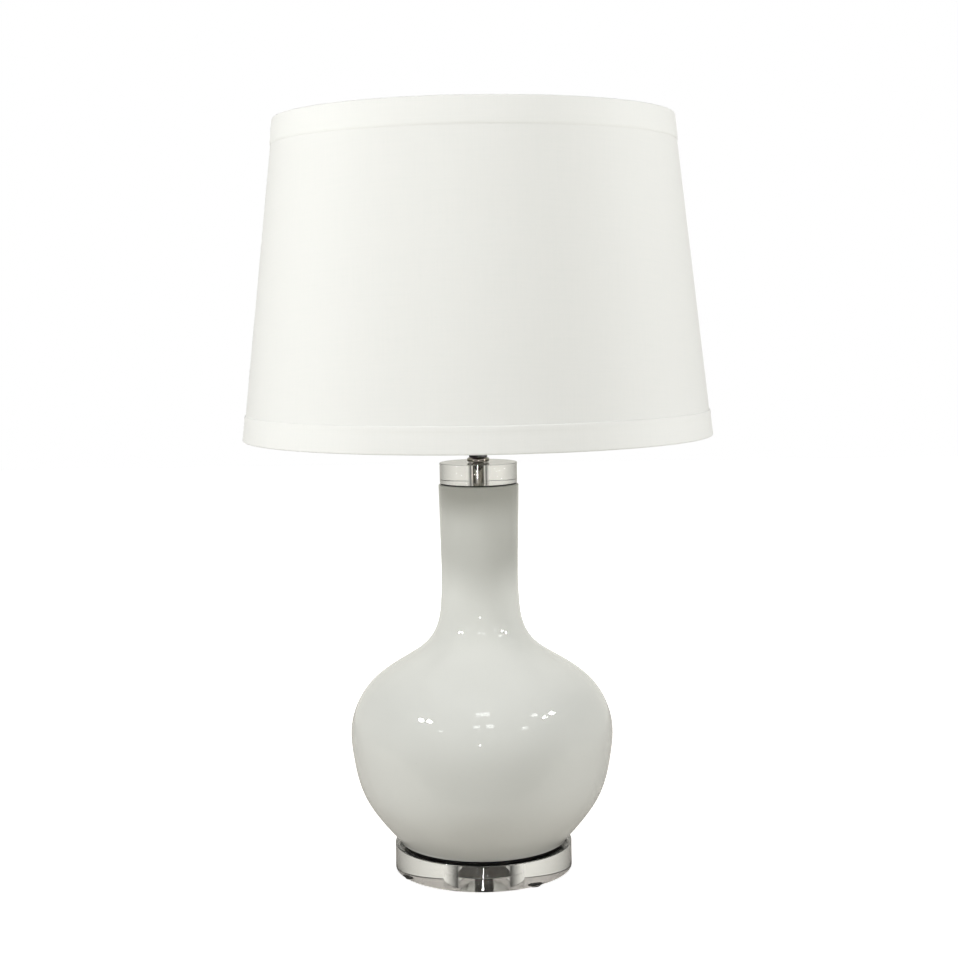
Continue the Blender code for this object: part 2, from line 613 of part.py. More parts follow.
def build_finial():
    foot = FINIAL_BOTTOM
    top = foot + FINIAL_HEIGHT
    ball_centre = top - FINIAL_BALL_RADIUS
    ball = arc((0, ball_centre), FINIAL_BALL_RADIUS, 90, -40, 10)
    ball[0] = (0, top)
    side = [(4.6 * MM, foot + 4.2 * MM), (5.4 * MM, foot + 2.6 * MM)]
    side += [(FINIAL_FOOT_RADIUS, foot + 1.6 * MM), (FINIAL_FOOT_RADIUS, foot)]
    bore_top = HARP_SEAT + STUD_LENGTH + 0.5 * MM
    bore = [(FINIAL_BORE, foot), (FINIAL_BORE, bore_top), (0, bore_top)]
    turned("finial", ball + side + bore, POLISHED_NICKEL, steps=32)


def shade_radius(height, inset=0.0):
    """Radius of the shade's cone at a height, inset from the face of its trims."""
    part = (height - SHADE_BOTTOM) / (SHADE_TOP - SHADE_BOTTOM)
    return SHADE_BOTTOM_RADIUS + part * (SHADE_TOP_RADIUS - SHADE_BOTTOM_RADIUS) - inset


def cone_sleeve(name, bottom, top, inset, thickness, finish_material):
    """A thin sleeve that follows the shade's cone."""
    inside = inset + thickness
    profile = [(shade_radius(top, inset), top), (shade_radius(bottom, inset), bottom)]
    profile += [(shade_radius(bottom, inside), bottom), (shade_radius(top, inside), top)]
    return turned(name, profile, finish_material, FINE_STEPS, closed=True)


def folded_trim(name, edge, inward, lip_inset):
    """A trim band whose edge folds in over the ring wire; inward is +1 at the bottom."""
    far = edge + inward * TRIM_HEIGHT
    under = edge + inward * TRIM_THICKNESS
    profile = [(shade_radius(far), far), (shade_radius(edge), edge)]
    profile += [(shade_radius(edge, lip_inset), edge), (shade_radius(under, lip_inset), under)]
    profile += [(shade_radius(under, TRIM_THICKNESS), under)]
    profile += [(shade_radius(far, TRIM_THICKNESS), far)]
    if inward < 0:
        profile.reverse()
    return turned(name, profile, WHITE_LINEN, FINE_STEPS, closed=True)


def circle(radius, height, count):
    turns = [2 * pi * i / count for i in range(count)]
    return [(radius * cos(a), radius * sin(a), height) for a in turns]


def build_shade():
    fabric_inset = TRIM_THICKNESS + GAP
    styrene_inset = fabric_inset + FABRIC_THICKNESS + GAP
    ring_inset = styrene_inset + STYRENE_THICKNESS + GAP + RING_WIRE
    skin_edge = TRIM_THICKNESS + GAP
    low = SHADE_BOTTOM + skin_edge
    high = SHADE_TOP - skin_edge
    cone_sleeve("shade_fabric", low, high, fabric_inset, FABRIC_THICKNESS, WHITE_LINEN)
    cone_sleeve("shade_styrene", low, high, styrene_inset, STYRENE_THICKNESS, WHITE_STYRENE)
    lip_inset = ring_inset + RING_WIRE
    folded_trim("shade_trim_bottom", SHADE_BOTTOM, 1, lip_inset)
    folded_trim("shade_trim_top", SHADE_TOP, -1, lip_inset)
    ring_height = high - RING_WIRE
    for name, height in (("shade_ring_bottom", low + RING_WIRE), ("shade_ring_top", ring_height)):
        radius = shade_radius(height, ring_inset)
        wire(name, circle(radius, height, FINE_STEPS), RING_WIRE, PLATED_STEEL, 1, cyclic=True)

    spider = ring("shade_spider", SPIDER_WASHER_BORE, SPIDER_WASHER_RADIUS, SPIDER_BOTTOM,
                  SPIDER_BOTTOM + SPIDER_WASHER_THICKNESS, PLATED_STEEL, steps=32)
    reach = shade_radius(ring_height, ring_inset) - RING_WIRE - GAP
    start = SPIDER_BOTTOM + SPIDER_WASHER_THICKNESS / 2
    arm = smooth_path([(9 * MM, start), (35 * MM, start), (90 * MM, start + 4 * MM),
                       (140 * MM, ring_height - 3 * MM), (reach, ring_height)], 12)
    for number, angle in enumerate(SPIDER_ARM_ANGLES, start=1):
        turn = radians(angle)
        path = [(r * cos(turn), r * sin(turn), z) for r, z in arm]
        piece = as_mesh(wire(f"spider_arm_{number}", path, SPIDER_WIRE, PLATED_STEEL, 1))
        combine(spider, piece, "UNION")


build_base()
build_clamp()
build_body()
build_neck()
build_saddle()
build_socket()
build_switch()
build_bulb()
build_harp()
build_finial()
build_shade()
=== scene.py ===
"""The looks of a table lamp: glazed ceramic, clear acrylic, nickel and a linen drum shade."""

import json
from math import cos, hypot, pi, radians, sin, sqrt

import bmesh
import bpy
import numpy as np
from mathutils import Matrix, Vector


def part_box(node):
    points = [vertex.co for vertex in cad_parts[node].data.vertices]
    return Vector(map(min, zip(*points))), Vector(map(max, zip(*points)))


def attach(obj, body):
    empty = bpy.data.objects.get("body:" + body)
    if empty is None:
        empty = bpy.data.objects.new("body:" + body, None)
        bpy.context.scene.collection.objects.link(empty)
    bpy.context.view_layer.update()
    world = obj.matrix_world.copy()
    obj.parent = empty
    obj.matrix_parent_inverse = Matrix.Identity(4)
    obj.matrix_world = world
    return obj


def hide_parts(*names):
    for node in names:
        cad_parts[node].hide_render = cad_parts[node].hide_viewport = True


MM = 0.001
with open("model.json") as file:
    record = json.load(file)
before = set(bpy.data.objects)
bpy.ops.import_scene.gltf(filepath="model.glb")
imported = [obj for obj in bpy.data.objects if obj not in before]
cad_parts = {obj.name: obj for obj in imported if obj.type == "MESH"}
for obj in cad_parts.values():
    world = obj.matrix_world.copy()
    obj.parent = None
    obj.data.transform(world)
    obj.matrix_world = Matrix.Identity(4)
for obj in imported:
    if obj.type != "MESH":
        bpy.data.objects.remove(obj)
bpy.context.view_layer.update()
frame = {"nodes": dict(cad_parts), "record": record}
record = frame["record"]
BODY_OF = {n: body for body, nodes in record["behaviour"]["bodies"].items() for n in nodes}

# Camera
EYE = (0.0005, -1.4971, 0.4931)
LENS_MM = 64.8
PITCH_DOWN = 5.614
ROLL = -0.824

# The ceramic body's outline: (height, radius) in millimetres, joined by a smooth curve
BODY_OUTLINE = [
    (26.6, 72.9), (66.6, 103.2), (101.6, 113.2), (131.6, 114.6), (151.6, 108.0), (167.6, 96.4),
    (181.6, 78.3), (196.6, 54.6), (213.6, 40.0), (236.6, 34.6), (281.6, 33.8), (342.1, 35.1),
]
BODY_WALL = 6.0 * MM
BODY_HOLE = 7.0 * MM
RECESS_RADIUS = 23.6 * MM
RECESS_DEPTH = 17.5 * MM
ACRYLIC_BORE = 6.35 * MM
PIPE_HOLE = 5.15 * MM
PIPE_BORE = 3.4 * MM
THREAD_PITCH = 0.94 * MM
BULB_PITCH = 3.63 * MM
# The bulb's glass: (height over its tip, radius) in millimetres
BULB_OUTLINE = [
    (12, 11.9), (27, 12.2), (45, 18.5), (62, 27.2), (78, 30.0), (93, 26.0), (103, 16.0),
]
GLASS_WALL = 0.8 * MM
PAD_GLUE = 0.05 * MM

# Shade: widths of the folds and the pitch of the threads
TRIM_HEIGHT = 22.0 * MM
TRIM_THICKNESS = 0.7 * MM
FABRIC_INSET = 1.0 * MM
FABRIC_THICKNESS = 0.5 * MM
LINING_THICKNESS = 0.5 * MM
GAP = 0.3 * MM
THREAD_SPACING = 0.62 * MM


# ---------------------------------------------------------------- outlines

def span(node):
    """A round node's outer radius, bottom and top."""
    low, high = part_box(node)
    return max(high.x - low.x, high.y - low.y) / 2, low.z, high.z


def middle(node):
    low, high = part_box(node)
    return (low + high) / 2


def arc(centre, radius, start, end, count):
    """Points (r, z) of an arc about a centre, its angles in degrees from +r."""
    angles = [radians(start + (end - start) * i / (count - 1)) for i in range(count)]
    return [(centre[0] + radius * cos(a), centre[1] + radius * sin(a)) for a in angles]


def spline_value(knots, values, at):
    """A natural cubic spline through (knots, values), read at the given places."""
    knots = np.array(knots, float)
    values = np.array(values, float)
    step = np.diff(knots)
    slope = np.diff(values) / step
    size = len(knots)
    system = np.eye(size)
    right = np.zeros(size)
    for i in range(1, size - 1):
        system[i, i - 1:i + 2] = step[i - 1], 2 * (step[i - 1] + step[i]), step[i]
        right[i] = 6 * (slope[i] - slope[i - 1])
    bend = np.linalg.solve(system, right)
    cell = np.clip(np.searchsorted(knots, at, side="right") - 1, 0, size - 2)
    low = at - knots[cell]
    high = knots[cell + 1] - at
    width = step[cell]
    cubic = (bend[cell] * high ** 3 + bend[cell + 1] * low ** 3) / (6 * width)
    from_left = (values[cell] / width - bend[cell] * width / 6) * high
    from_right = (values[cell + 1] / width - bend[cell + 1] * width / 6) * low
    return cubic + from_left + from_right


def smooth_path(points, count):
    """Evenly spread points on a smooth curve through the given points."""
    points = np.array(points, float)
    run = np.concatenate([[0], np.cumsum(np.linalg.norm(np.diff(points, axis=0), axis=1))])
    at = np.linspace(0, run[-1], count)
    return np.stack([spline_value(run, column, at) for column in points.T], axis=1)


def rounded(corners, closed=True, count=6):
    """An outline of corners (r, z, rounding) with its corners rounded off.

    A guard point stands on each side of a rounding, so that the flats stay flat.
    """
    outline = []
    size = len(corners)
    for i, (r, z, rounding) in enumerate(corners):
        at_end = not closed and i in (0, size - 1)
        if rounding <= 0 or at_end:
            outline.append((r, z))
            continue
        corner = np.array((r, z))
        before = np.array(corners[i - 1][:2]) - corner
        after = np.array(corners[(i + 1) % size][:2]) - corner
        reach = min(rounding, 0.4 * np.linalg.norm(before), 0.4 * np.linalg.norm(after))
        start = corner + before / np.linalg.norm(before) * reach
        end = corner + after / np.linalg.norm(after) * reach
        outline.append(tuple(start + (start - corner) * 0.2))
        for t in np.linspace(0, 1, count):
            outline.append(tuple((1 - t) ** 2 * start + 2 * t * (1 - t) * corner + t ** 2 * end))
        outline.append(tuple(end + (end - corner) * 0.2))
    return outline


def upright(radius, top, bottom, spacing):
    """Close points straight down a turned side, for a thread or a rib to be cut in."""
    count = max(2, int(round((top - bottom) / spacing)) + 1)
    return [(radius, z) for z in np.linspace(top, bottom, count)]


# ---------------------------------------------------------------- meshes

def mesh_object(name, points, faces, sharp=35):
    mesh = bpy.data.meshes.new(name)
    mesh.from_pydata([tuple(p) for p in points], [], [tuple(f) for f in faces])
    mesh.validate()
    mesh.shade_smooth()
    mesh.set_sharp_from_angle(angle=radians(sharp))
    obj = bpy.data.objects.new(name, mesh)
    bpy.context.scene.collection.objects.link(obj)
    return obj


def turned(name, outline, steps=96, closed=True, at=(0, 0), change=None, sharp=35):
    """Turn an outline (r, z) about a vertical axis; its outer side runs top to bottom.

    change(angle, r, z) may give each point a new radius, as for a thread or a hexagon.
    """
    turns = np.arange(steps) * 2 * pi / steps
    points = []
    rings = []
    for r, z in outline:
        if r < 1e-9:
            rings.append([len(points)] * steps)
            points.append((at[0], at[1], z))
            continue
        radii = np.full(steps, r) if change is None else change(turns, np.full(steps, r), z)
        rings.append(list(range(len(points), len(points) + steps)))
        points += [(at[0] + q * cos(a), at[1] + q * sin(a), z) for q, a in zip(radii, turns)]
    faces = []
    pairs = list(zip(rings, rings[1:]))
    if closed:
        pairs.append((rings[-1], rings[0]))
    for upper, lower in pairs:
        for j in range(steps):
            k = (j + 1) % steps
            corners = [upper[j], lower[j], lower[k], upper[k]]
            face = list(dict.fromkeys(corners))
            if len(face) > 2:
                faces.append(face)
    return mesh_object(name, points, faces, sharp)


def thread(top, bottom, pitch, depth, outer):
    """A change of radius that cuts a screw thread in the outer side between two heights."""
    def change(angle, r, z):
        if r[0] < outer - 1e-6 or not bottom <= z <= top:
            return r
        fade = min(1.0, (top - z) / pitch, (z - bottom) / pitch)
        wave = 0.5 - 0.5 * np.cos(2 * pi * z / pitch - angle)
        return r - depth * max(fade, 0.0) * wave
    return change


def wire(name, points, radius, cyclic=False, sides=6):
    """A round wire along a path."""
    curve = bpy.data.curves.new(name, "CURVE")
    curve.dimensions = "3D"
    curve.bevel_depth = radius
    curve.bevel_resolution = sides
    curve.use_fill_caps = not cyclic
    spline = curve.splines.new("POLY")
    spline.points.add(len(points) - 1)
    for point, place in zip(spline.points, points):
        point.co = (*place, 1.0)
    spline.use_cyclic_u = cyclic
    obj = bpy.data.objects.new(name, curve)
    bpy.context.scene.collection.objects.link(obj)
    return obj


def circle(radius, height, count):
    turns = [2 * pi * i / count for i in range(count)]
    return [(radius * cos(a), radius * sin(a), height) for a in turns]


def laid(obj, direction, place):
    """Lay a turned mesh along another direction, with its origin at a place."""
    turn = Vector(direction).to_track_quat("Z", "Y").to_matrix().to_4x4()
    obj.data.transform(Matrix.Translation(place) @ turn)
    return obj


# ---------------------------------------------------------------- materials

class Nodes:
    """A Principled material and short ways to add and join its nodes."""

    def __init__(self, name, **shader_values):
        self.material = bpy.data.materials.new(name)
        self.material.use_nodes = True
        self.tree = self.material.node_tree
        self.shader = self.tree.nodes["Principled BSDF"]
        for key, value in shader_values.items():
            self.shader.inputs[key.replace("_", " ")].default_value = value

    def add(self, kind, *inputs, **settings):
        """Add a node; a plain input is set, another node's output is joined."""
        node = self.tree.nodes.new("ShaderNode" + kind)
        for key, value in settings.items():
            setattr(node, key, value)
        for socket, value in zip(node.inputs, inputs):
            self.put(socket, value)
        return node.outputs[0]

    def put(self, socket, value):
        if isinstance(value, bpy.types.NodeSocket):
            self.tree.links.new(value, socket)
        elif value is not None:
            socket.default_value = value

    def set(self, **values):
        for key, value in values.items():
            self.put(self.shader.inputs[key.replace("_", " ")], value)

    def maths(self, operation, *inputs):
        return self.add("Math", *inputs, operation=operation)

    def place(self):
        """The point on the piece, in metres."""
        return self.add("TexCoord").node.outputs["Object"]

    def axes(self):
        split = self.add("SeparateXYZ", self.place()).node
        return split.outputs[0], split.outputs[1], split.outputs[2]

    def noise(self, vector, scale, detail=3.0, roughness=0.5):
        node = self.add("TexNoise").node
        self.put(node.inputs["Vector"], vector)
        node.inputs["Scale"].default_value = scale
        node.inputs["Detail"].default_value = detail
        node.inputs["Roughness"].default_value = roughness
        return node.outputs["Fac"]

    def stretch(self, vector, x, y, z):
        node = self.add("Mapping").node
        self.put(node.inputs["Vector"], vector)
        node.inputs["Scale"].default_value = (x, y, z)
        return node.outputs[0]

    def between(self, factor, low, high, start=0.0, end=1.0):
        """Map a factor from start..end onto low..high."""
        node = self.add("MapRange").node
        for key, value in (("Value", factor), ("From Min", start), ("From Max", end),
                           ("To Min", low), ("To Max", high)):
            self.put(node.inputs[key], value)
        return node.outputs[0]

    def blend(self, factor, first, second):
        """Mix two colours."""
        node = self.add("Mix", data_type="RGBA").node
        self.put(node.inputs[0], factor)
        for socket, colour in ((node.inputs[6], first), (node.inputs[7], second)):
            self.put(socket, colour if isinstance(colour, bpy.types.NodeSocket) else (*colour, 1))
        return node.outputs[2]

    def bump(self, height, distance, strength=1.0, before=None):
        node = self.add("Bump").node
        node.inputs["Strength"].default_value = strength
        node.inputs["Distance"].default_value = distance
        self.put(node.inputs["Height"], height)
        self.put(node.inputs["Normal"], before)
        return node.outputs[0]


def glaze():
    """White tin-like glaze: a soft orange peel, faint pooling and a few pin specks."""
    m = Nodes("white_glaze", IOR=1.5, Coat_Weight=0.0)
    place = m.place()
    pooling = m.noise(place, 14.0, 2.0)
    speck = m.between(m.noise(place, 900.0, 1.0), 0.0, 1.0, 0.77, 0.80)
    body = m.blend(pooling, (0.735, 0.745, 0.708), (0.760, 0.770, 0.734))
    m.set(Base_Color=m.blend(m.maths("MULTIPLY", speck, 0.35), body, (0.45, 0.42, 0.36)))
    m.set(Roughness=m.between(m.noise(place, 60.0), 0.03, 0.05))
    wave = m.bump(m.noise(place, 22.0, 1.0), 0.0006, 0.35)
    m.set(Normal=m.bump(m.noise(place, 160.0, 2.0), 0.00008, 0.25, wave))
    return m.material


def acrylic():
    """Polished clear acrylic; faint lathe marks round its edge draw lamps out to upright lines."""
    m = Nodes("clear_acrylic", Transmission_Weight=1.0, IOR=1.49, Base_Color=(1, 1, 1, 1),
              Coat_Weight=0.35, Coat_Roughness=0.04)
    place = m.place()
    m.set(Roughness=m.between(m.noise(place, 90.0), 0.0, 0.012, 0.45, 0.8))
    marks = m.noise(m.stretch(place, 1, 1, 400), 12.0, 2.0, 0.7)
    m.set(Coat_Normal=m.bump(marks, 0.0002, 0.5))
    return m.material


def plated(name, colour, low, high, scratch=0.00003, brushed=(1, 1, 14)):
    """Plated metal with hairline scratches, running along the stretched axis."""
    m = Nodes(name, Metallic=1.0)
    place = m.place()
    lines = m.noise(m.stretch(place, *brushed), 260.0, 4.0, 0.6)
    cloud = m.noise(place, 45.0)
    m.set(Base_Color=m.blend(cloud, [0.93 * c for c in colour], colour))
    m.set(Roughness=m.between(m.maths("MULTIPLY", lines, cloud), low, high, 0.1, 0.5))
    m.set(Normal=m.bump(lines, scratch, 0.3))
    return m.material


def moulded(name, colour, roughness, grain=0.00004):
    """Moulded plastic or rubber with a fine grain."""
    m = Nodes(name)
    place = m.place()
    fine = m.noise(place, 1400.0, 2.0)
    m.set(Base_Color=m.blend(m.noise(place, 40.0), colour, [1.25 * c for c in colour]))
    m.set(Roughness=m.between(fine, roughness * 0.85, roughness * 1.15))
    m.set(Normal=m.bump(fine, grain, 0.4))
    return m.material


def card():
    m = Nodes("fibre_card")
    place = m.place()
    fibre = m.noise(m.stretch(place, 1, 1, 0.3), 700.0, 5.0, 0.7)
    m.set(Base_Color=m.blend(fibre, (0.36, 0.27, 0.18), (0.52, 0.42, 0.30)), Roughness=0.85)
    m.set(Normal=m.bump(fibre, 0.0001, 0.6))
    return m.material


def opal_glass():
    m = Nodes("opal_glass", Subsurface_Weight=0.25, Subsurface_Scale=0.004)
    place = m.place()
    m.set(Base_Color=m.blend(m.noise(place, 30.0), (0.88, 0.88, 0.86), (0.93, 0.93, 0.92)))
    m.set(Roughness=m.between(m.noise(place, 200.0), 0.16, 0.24))
    return m.material


def woven(m, across, along, spacing):
    """The height of a plain weave at a place on the flat cloth, with slubs in both threads."""
    flat = m.add("CombineXYZ", across, along, 0.0)
    warp_slub = m.noise(m.stretch(flat, 1, 0.03, 1), 1 / (2.2 * spacing), 2.0, 0.6)
    weft_slub = m.noise(m.stretch(flat, 0.03, 1, 1), 1 / (2.2 * spacing), 2.0, 0.6)
    warp_turn = m.maths("MULTIPLY", across, pi / spacing)
    weft_turn = m.maths("MULTIPLY", along, pi / spacing)
    over = m.maths("MULTIPLY", m.maths("SINE", warp_turn), m.maths("SINE", weft_turn))
    warp = m.maths("MULTIPLY", m.maths("ABSOLUTE", m.maths("COSINE", warp_turn)), warp_slub)
    weft = m.maths("MULTIPLY", m.maths("ABSOLUTE", m.maths("COSINE", weft_turn)), weft_slub)
    side = m.between(over, 0.0, 1.0, -0.3, 0.3)
    first = m.maths("MULTIPLY", warp, side)
    second = m.maths("MULTIPLY", weft, m.maths("SUBTRACT", 1.0, side))
    return m.maths("ADD", first, second), m.maths("ADD", warp_slub, weft_slub)


def linen(name, flat_coordinates, lightness=1.0):
    """White linen, its threads laid on the flat cloth that flat_coordinates(m) gives."""
    m = Nodes(name, Roughness=0.85, Sheen_Weight=0.25, Sheen_Roughness=0.6,
              Specular_IOR_Level=0.25)
    across, along = flat_coordinates(m)
    height, slub = woven(m, across, along, THREAD_SPACING)
    # Painted shade: the weave is darker in the low places between threads and lighter on the
    # thread tops.
    painted_thread_shade = m.between(height, 0.0, 1.0, 0.0, 0.6)
    dark, light, warm_tone = (
        [lightness * c for c in colour]
        for colour in ((0.855, 0.86, 0.835), (0.925, 0.935, 0.91), (0.895, 0.89, 0.865)))
    cloth = m.blend(painted_thread_shade, dark, light)
    warm = m.between(slub, 0.0, 0.5, 0.8, 1.3)
    m.set(Base_Color=m.blend(warm, cloth, warm_tone))
    m.set(Normal=m.bump(height, 0.00018, 0.55))
    return m.material


def shade_cloth_place(m):
    """Where a point of the cone lies on the flat sector that the cover was cut from."""
    x, y, z = m.axes()
    turn = m.maths("ARCTAN2", x, m.maths("MULTIPLY", y, -1.0))
    sweep = m.maths("MULTIPLY", turn, CONE_SINE)
    slant = m.maths("MULTIPLY", m.maths("SUBTRACT", CONE_APEX, z), sqrt(1 + CONE_SLOPE ** 2))
    across = m.maths("MULTIPLY", slant, m.maths("SINE", sweep))
    along = m.maths("MULTIPLY", slant, m.maths("COSINE", sweep))
    return across, along


def tape_place(m):
    """Where a point of a trim lies on its straight tape."""
    x, y, z = m.axes()
    turn = m.maths("ARCTAN2", x, m.maths("MULTIPLY", y, -1.0))
    return m.maths("MULTIPLY", turn, shade_radius(SHADE_BOTTOM)), z


def styrene():
    m = Nodes("white_styrene", Specular_IOR_Level=0.4)
    place = m.place()
    m.set(Base_Color=m.blend(m.noise(place, 25.0), (0.88, 0.875, 0.85), (0.92, 0.915, 0.90)))
    m.set(Roughness=m.between(m.noise(place, 300.0), 0.38, 0.5))
    m.set(Normal=m.bump(m.noise(place, 500.0), 0.00003, 0.4))
    return m.material


# ---------------------------------------------------------------- the shade's cone

_, SHADE_BOTTOM, _ = span("shade_trim_bottom")
_, _, SHADE_TOP = span("shade_trim_top")
SHADE_FOOT_RADIUS = span("shade_trim_bottom")[0]
CONE_SLOPE = 31.7 * MM / (SHADE_TOP - SHADE_BOTTOM)
CONE_SINE = CONE_SLOPE / hypot(1, CONE_SLOPE)
CONE_APEX = SHADE_BOTTOM + SHADE_FOOT_RADIUS / CONE_SLOPE


def shade_radius(height, inset=0.0):
    """Radius of the shade's cone at a height, inset from the face of its trims."""
    return (CONE_APEX - height) * CONE_SLOPE - inset


# ---------------------------------------------------------------- putting pieces in place

def stands_for(obj, node, material, replaces=True):
    """Finish a piece and let it ride where its CAD node rides."""
    obj.data.materials.clear()
    obj.data.materials.append(material)
    if replaces:
        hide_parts(node)
    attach(obj, BODY_OF[node])
    return obj


def repaint(node, material):
    """Give a kept CAD node its finished material."""
    obj = frame["nodes"][node]
    obj.data.materials.clear()
    obj.data.materials.append(material)


GLAZE = glaze()
ACRYLIC = acrylic()
# Painted reflection: the nickel's colour is darkened well below real nickel, to stand in for the
# dark room it mirrors.
NICKEL_PAINTED_DARK = plated("polished_nickel", (0.38, 0.37, 0.31), 0.05, 0.12)
STEEL = plated("plated_steel", (0.52, 0.52, 0.51), 0.12, 0.3, 0.00005)
# Steel coloured near black, used for the nut and lock washer in the base's recess.
DARK_STEEL = plated("near_black_steel", (0.10, 0.095, 0.085), 0.10, 0.22)
BRASS = plated("brass", (0.72, 0.55, 0.27), 0.2, 0.38)
ALUMINIUM = plated("aluminium", (0.78, 0.78, 0.79), 0.25, 0.4, 0.00005, (14, 14, 1))
RUBBER = moulded("black_rubber", (0.012, 0.012, 0.012), 0.7, 0.00008)
BLACK_PLASTIC = moulded("black_plastic", (0.007, 0.007, 0.006), 0.33)
CARD = card()
OPAL = opal_glass()
SHADE_LINEN = linen("shade_linen", shade_cloth_place)
TAPE_LINEN = linen("tape_linen", tape_place, 1.03)
STYRENE = styrene()


def disc(node, hole, rounding, material, steps=96):
    """A ring or tube like its CAD node, with rounded edges."""
    radius, bottom, top = span(node)
    corners = [(radius, top, rounding), (radius, bottom, rounding)]
    corners += [(hole, bottom, rounding / 2), (hole, top, rounding / 2)]
    place = middle(node)
    obj = turned(node + "_detail", rounded(corners), steps, at=(place.x, place.y))
    return stands_for(obj, node, material)


def build_base():
    for number in range(1, 5):
        node = f"foot_pad_{number}"
        radius, bottom, _ = span(node)
        place = middle(node)
        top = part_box("base_disc")[0].z + PAD_GLUE
        side = [(0, top, 0), (radius, top, 0.2 * MM), (radius, bottom, 0.5 * MM), (0, bottom, 0)]
        pad = turned(node + "_detail", rounded(side, closed=False), 48, closed=False,
                     at=(place.x, place.y))
        stands_for(pad, node, RUBBER)
    radius, bottom, top = span("base_disc")
    ceiling = bottom + RECESS_DEPTH
    corners = [(radius, top, 0.9 * MM), (radius, bottom, 0.9 * MM)]
    corners += [(RECESS_RADIUS, bottom, 0.4 * MM), (RECESS_RADIUS, ceiling, 0.3 * MM)]
    corners += [(ACRYLIC_BORE, ceiling, 0.2 * MM), (ACRYLIC_BORE, top, 0.3 * MM)]
    stands_for(turned("base_disc_detail", rounded(corners), 256), "base_disc", ACRYLIC)
    disc("foot_seat", 30 * MM, 0.4 * MM, RUBBER, 192)
    disc("lip_gasket", 20 * MM, 0.15 * MM, RUBBER, 128)


def build_clamp():
    disc("base_washer", PIPE_HOLE, 0.3 * MM, STEEL)
    disc("lock_washer", PIPE_HOLE, 0.15 * MM, DARK_STEEL)
    radius, bottom, top = span("base_nut")
    flat = radius * cos(pi / 6)

    def hexagon(angle, r, z):
        if r[0] < flat - 1e-6:
            return r
        turn = (angle + pi / 6) % (pi / 3) - pi / 6
        return np.minimum(flat / np.cos(turn), r)
    chamfer = 0.5 * MM
    outline = [(flat + 0.1 * MM, top), (radius, top - chamfer), (radius, bottom + chamfer)]
    outline += [(flat + 0.1 * MM, bottom), (PIPE_HOLE, bottom), (PIPE_HOLE, top)]
    nut = turned("base_nut_detail", outline, 192, change=hexagon, sharp=25)
    stands_for(nut, "base_nut", DARK_STEEL)

    radius, bottom, top = span("lamp_pipe")
    smooth_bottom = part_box("base_disc")[1].z - 6 * MM
    smooth_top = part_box("neck_spacer")[1].z
    spacing = THREAD_PITCH / 6
    side = upright(radius, top - 0.3 * MM, smooth_top, spacing)
    side += upright(radius, smooth_bottom, bottom + 0.3 * MM, spacing)
    outline = [(radius - 0.4 * MM, top)] + side + [(radius - 0.4 * MM, bottom)]
    outline += [(PIPE_BORE, bottom), (PIPE_BORE, top)]
    low_thread = thread(smooth_bottom, bottom, THREAD_PITCH, 0.45 * MM, radius)
    high_thread = thread(top, smooth_top, THREAD_PITCH, 0.45 * MM, radius)

    def both(angle, r, z):
        return high_thread(angle, low_thread(angle, r, z), z)
    pipe = turned("lamp_pipe_detail", outline, 64, change=both)
    stands_for(pipe, "lamp_pipe", NICKEL_PAINTED_DARK)


def build_body():
    heights = [height * MM for height, _ in BODY_OUTLINE]
    radii = [radius * MM for _, radius in BODY_OUTLINE]
    _, bottom, top = span("ceramic_body")
    lip, foot = 1.2 * MM, 2.0 * MM
    at = np.linspace(top - lip, bottom + foot, 240)
    side = list(zip(spline_value(heights, radii, at), at))
    crown = arc((side[0][0] - lip, side[0][1]), lip, 90, 8, 8)
    under = arc((side[-1][0] - foot, side[-1][1]), foot, -42, -90, 7)
    inner = np.linspace(bottom + BODY_WALL, top - BODY_WALL, 60)
    inside = list(zip(spline_value(heights, radii, inner) - BODY_WALL, inner))
    outline = [(BODY_HOLE, top), (crown[0][0] - 0.4 * MM, top)] + crown + side + under
    outline += [(under[-1][0] - 0.4 * MM, bottom), (BODY_HOLE, bottom)]
    outline += [(BODY_HOLE, bottom + BODY_WALL)] + inside + [(BODY_HOLE, top - BODY_WALL)]
    body = turned("ceramic_body_detail", outline, 256, sharp=50)
    stands_for(body, "ceramic_body", GLAZE)


def build_neck():
    radius, bottom, top = span("neck_cap")
    corners = [(radius, top, 0.6 * MM), (radius, bottom, 0.6 * MM)]
    corners += [(ACRYLIC_BORE, bottom, 0.3 * MM), (ACRYLIC_BORE, top, 0.3 * MM)]
    stands_for(turned("neck_cap_detail", rounded(corners), 192), "neck_cap", ACRYLIC)
    radius, bottom, top = span("neck_collar")
    half = (top - bottom) / 2
    side = arc((radius - half, bottom + half), half, 90, -90, 25)
    outline = [(PIPE_HOLE, top), (side[0][0] - 0.5 * MM, top)] + side
    outline += [(side[-1][0] - 0.5 * MM, bottom), (PIPE_HOLE, bottom)]
    stands_for(turned("neck_collar_detail", outline, 128), "neck_collar", NICKEL_PAINTED_DARK)
    disc("neck_spacer", PIPE_HOLE, 0.5 * MM, BLACK_PLASTIC)


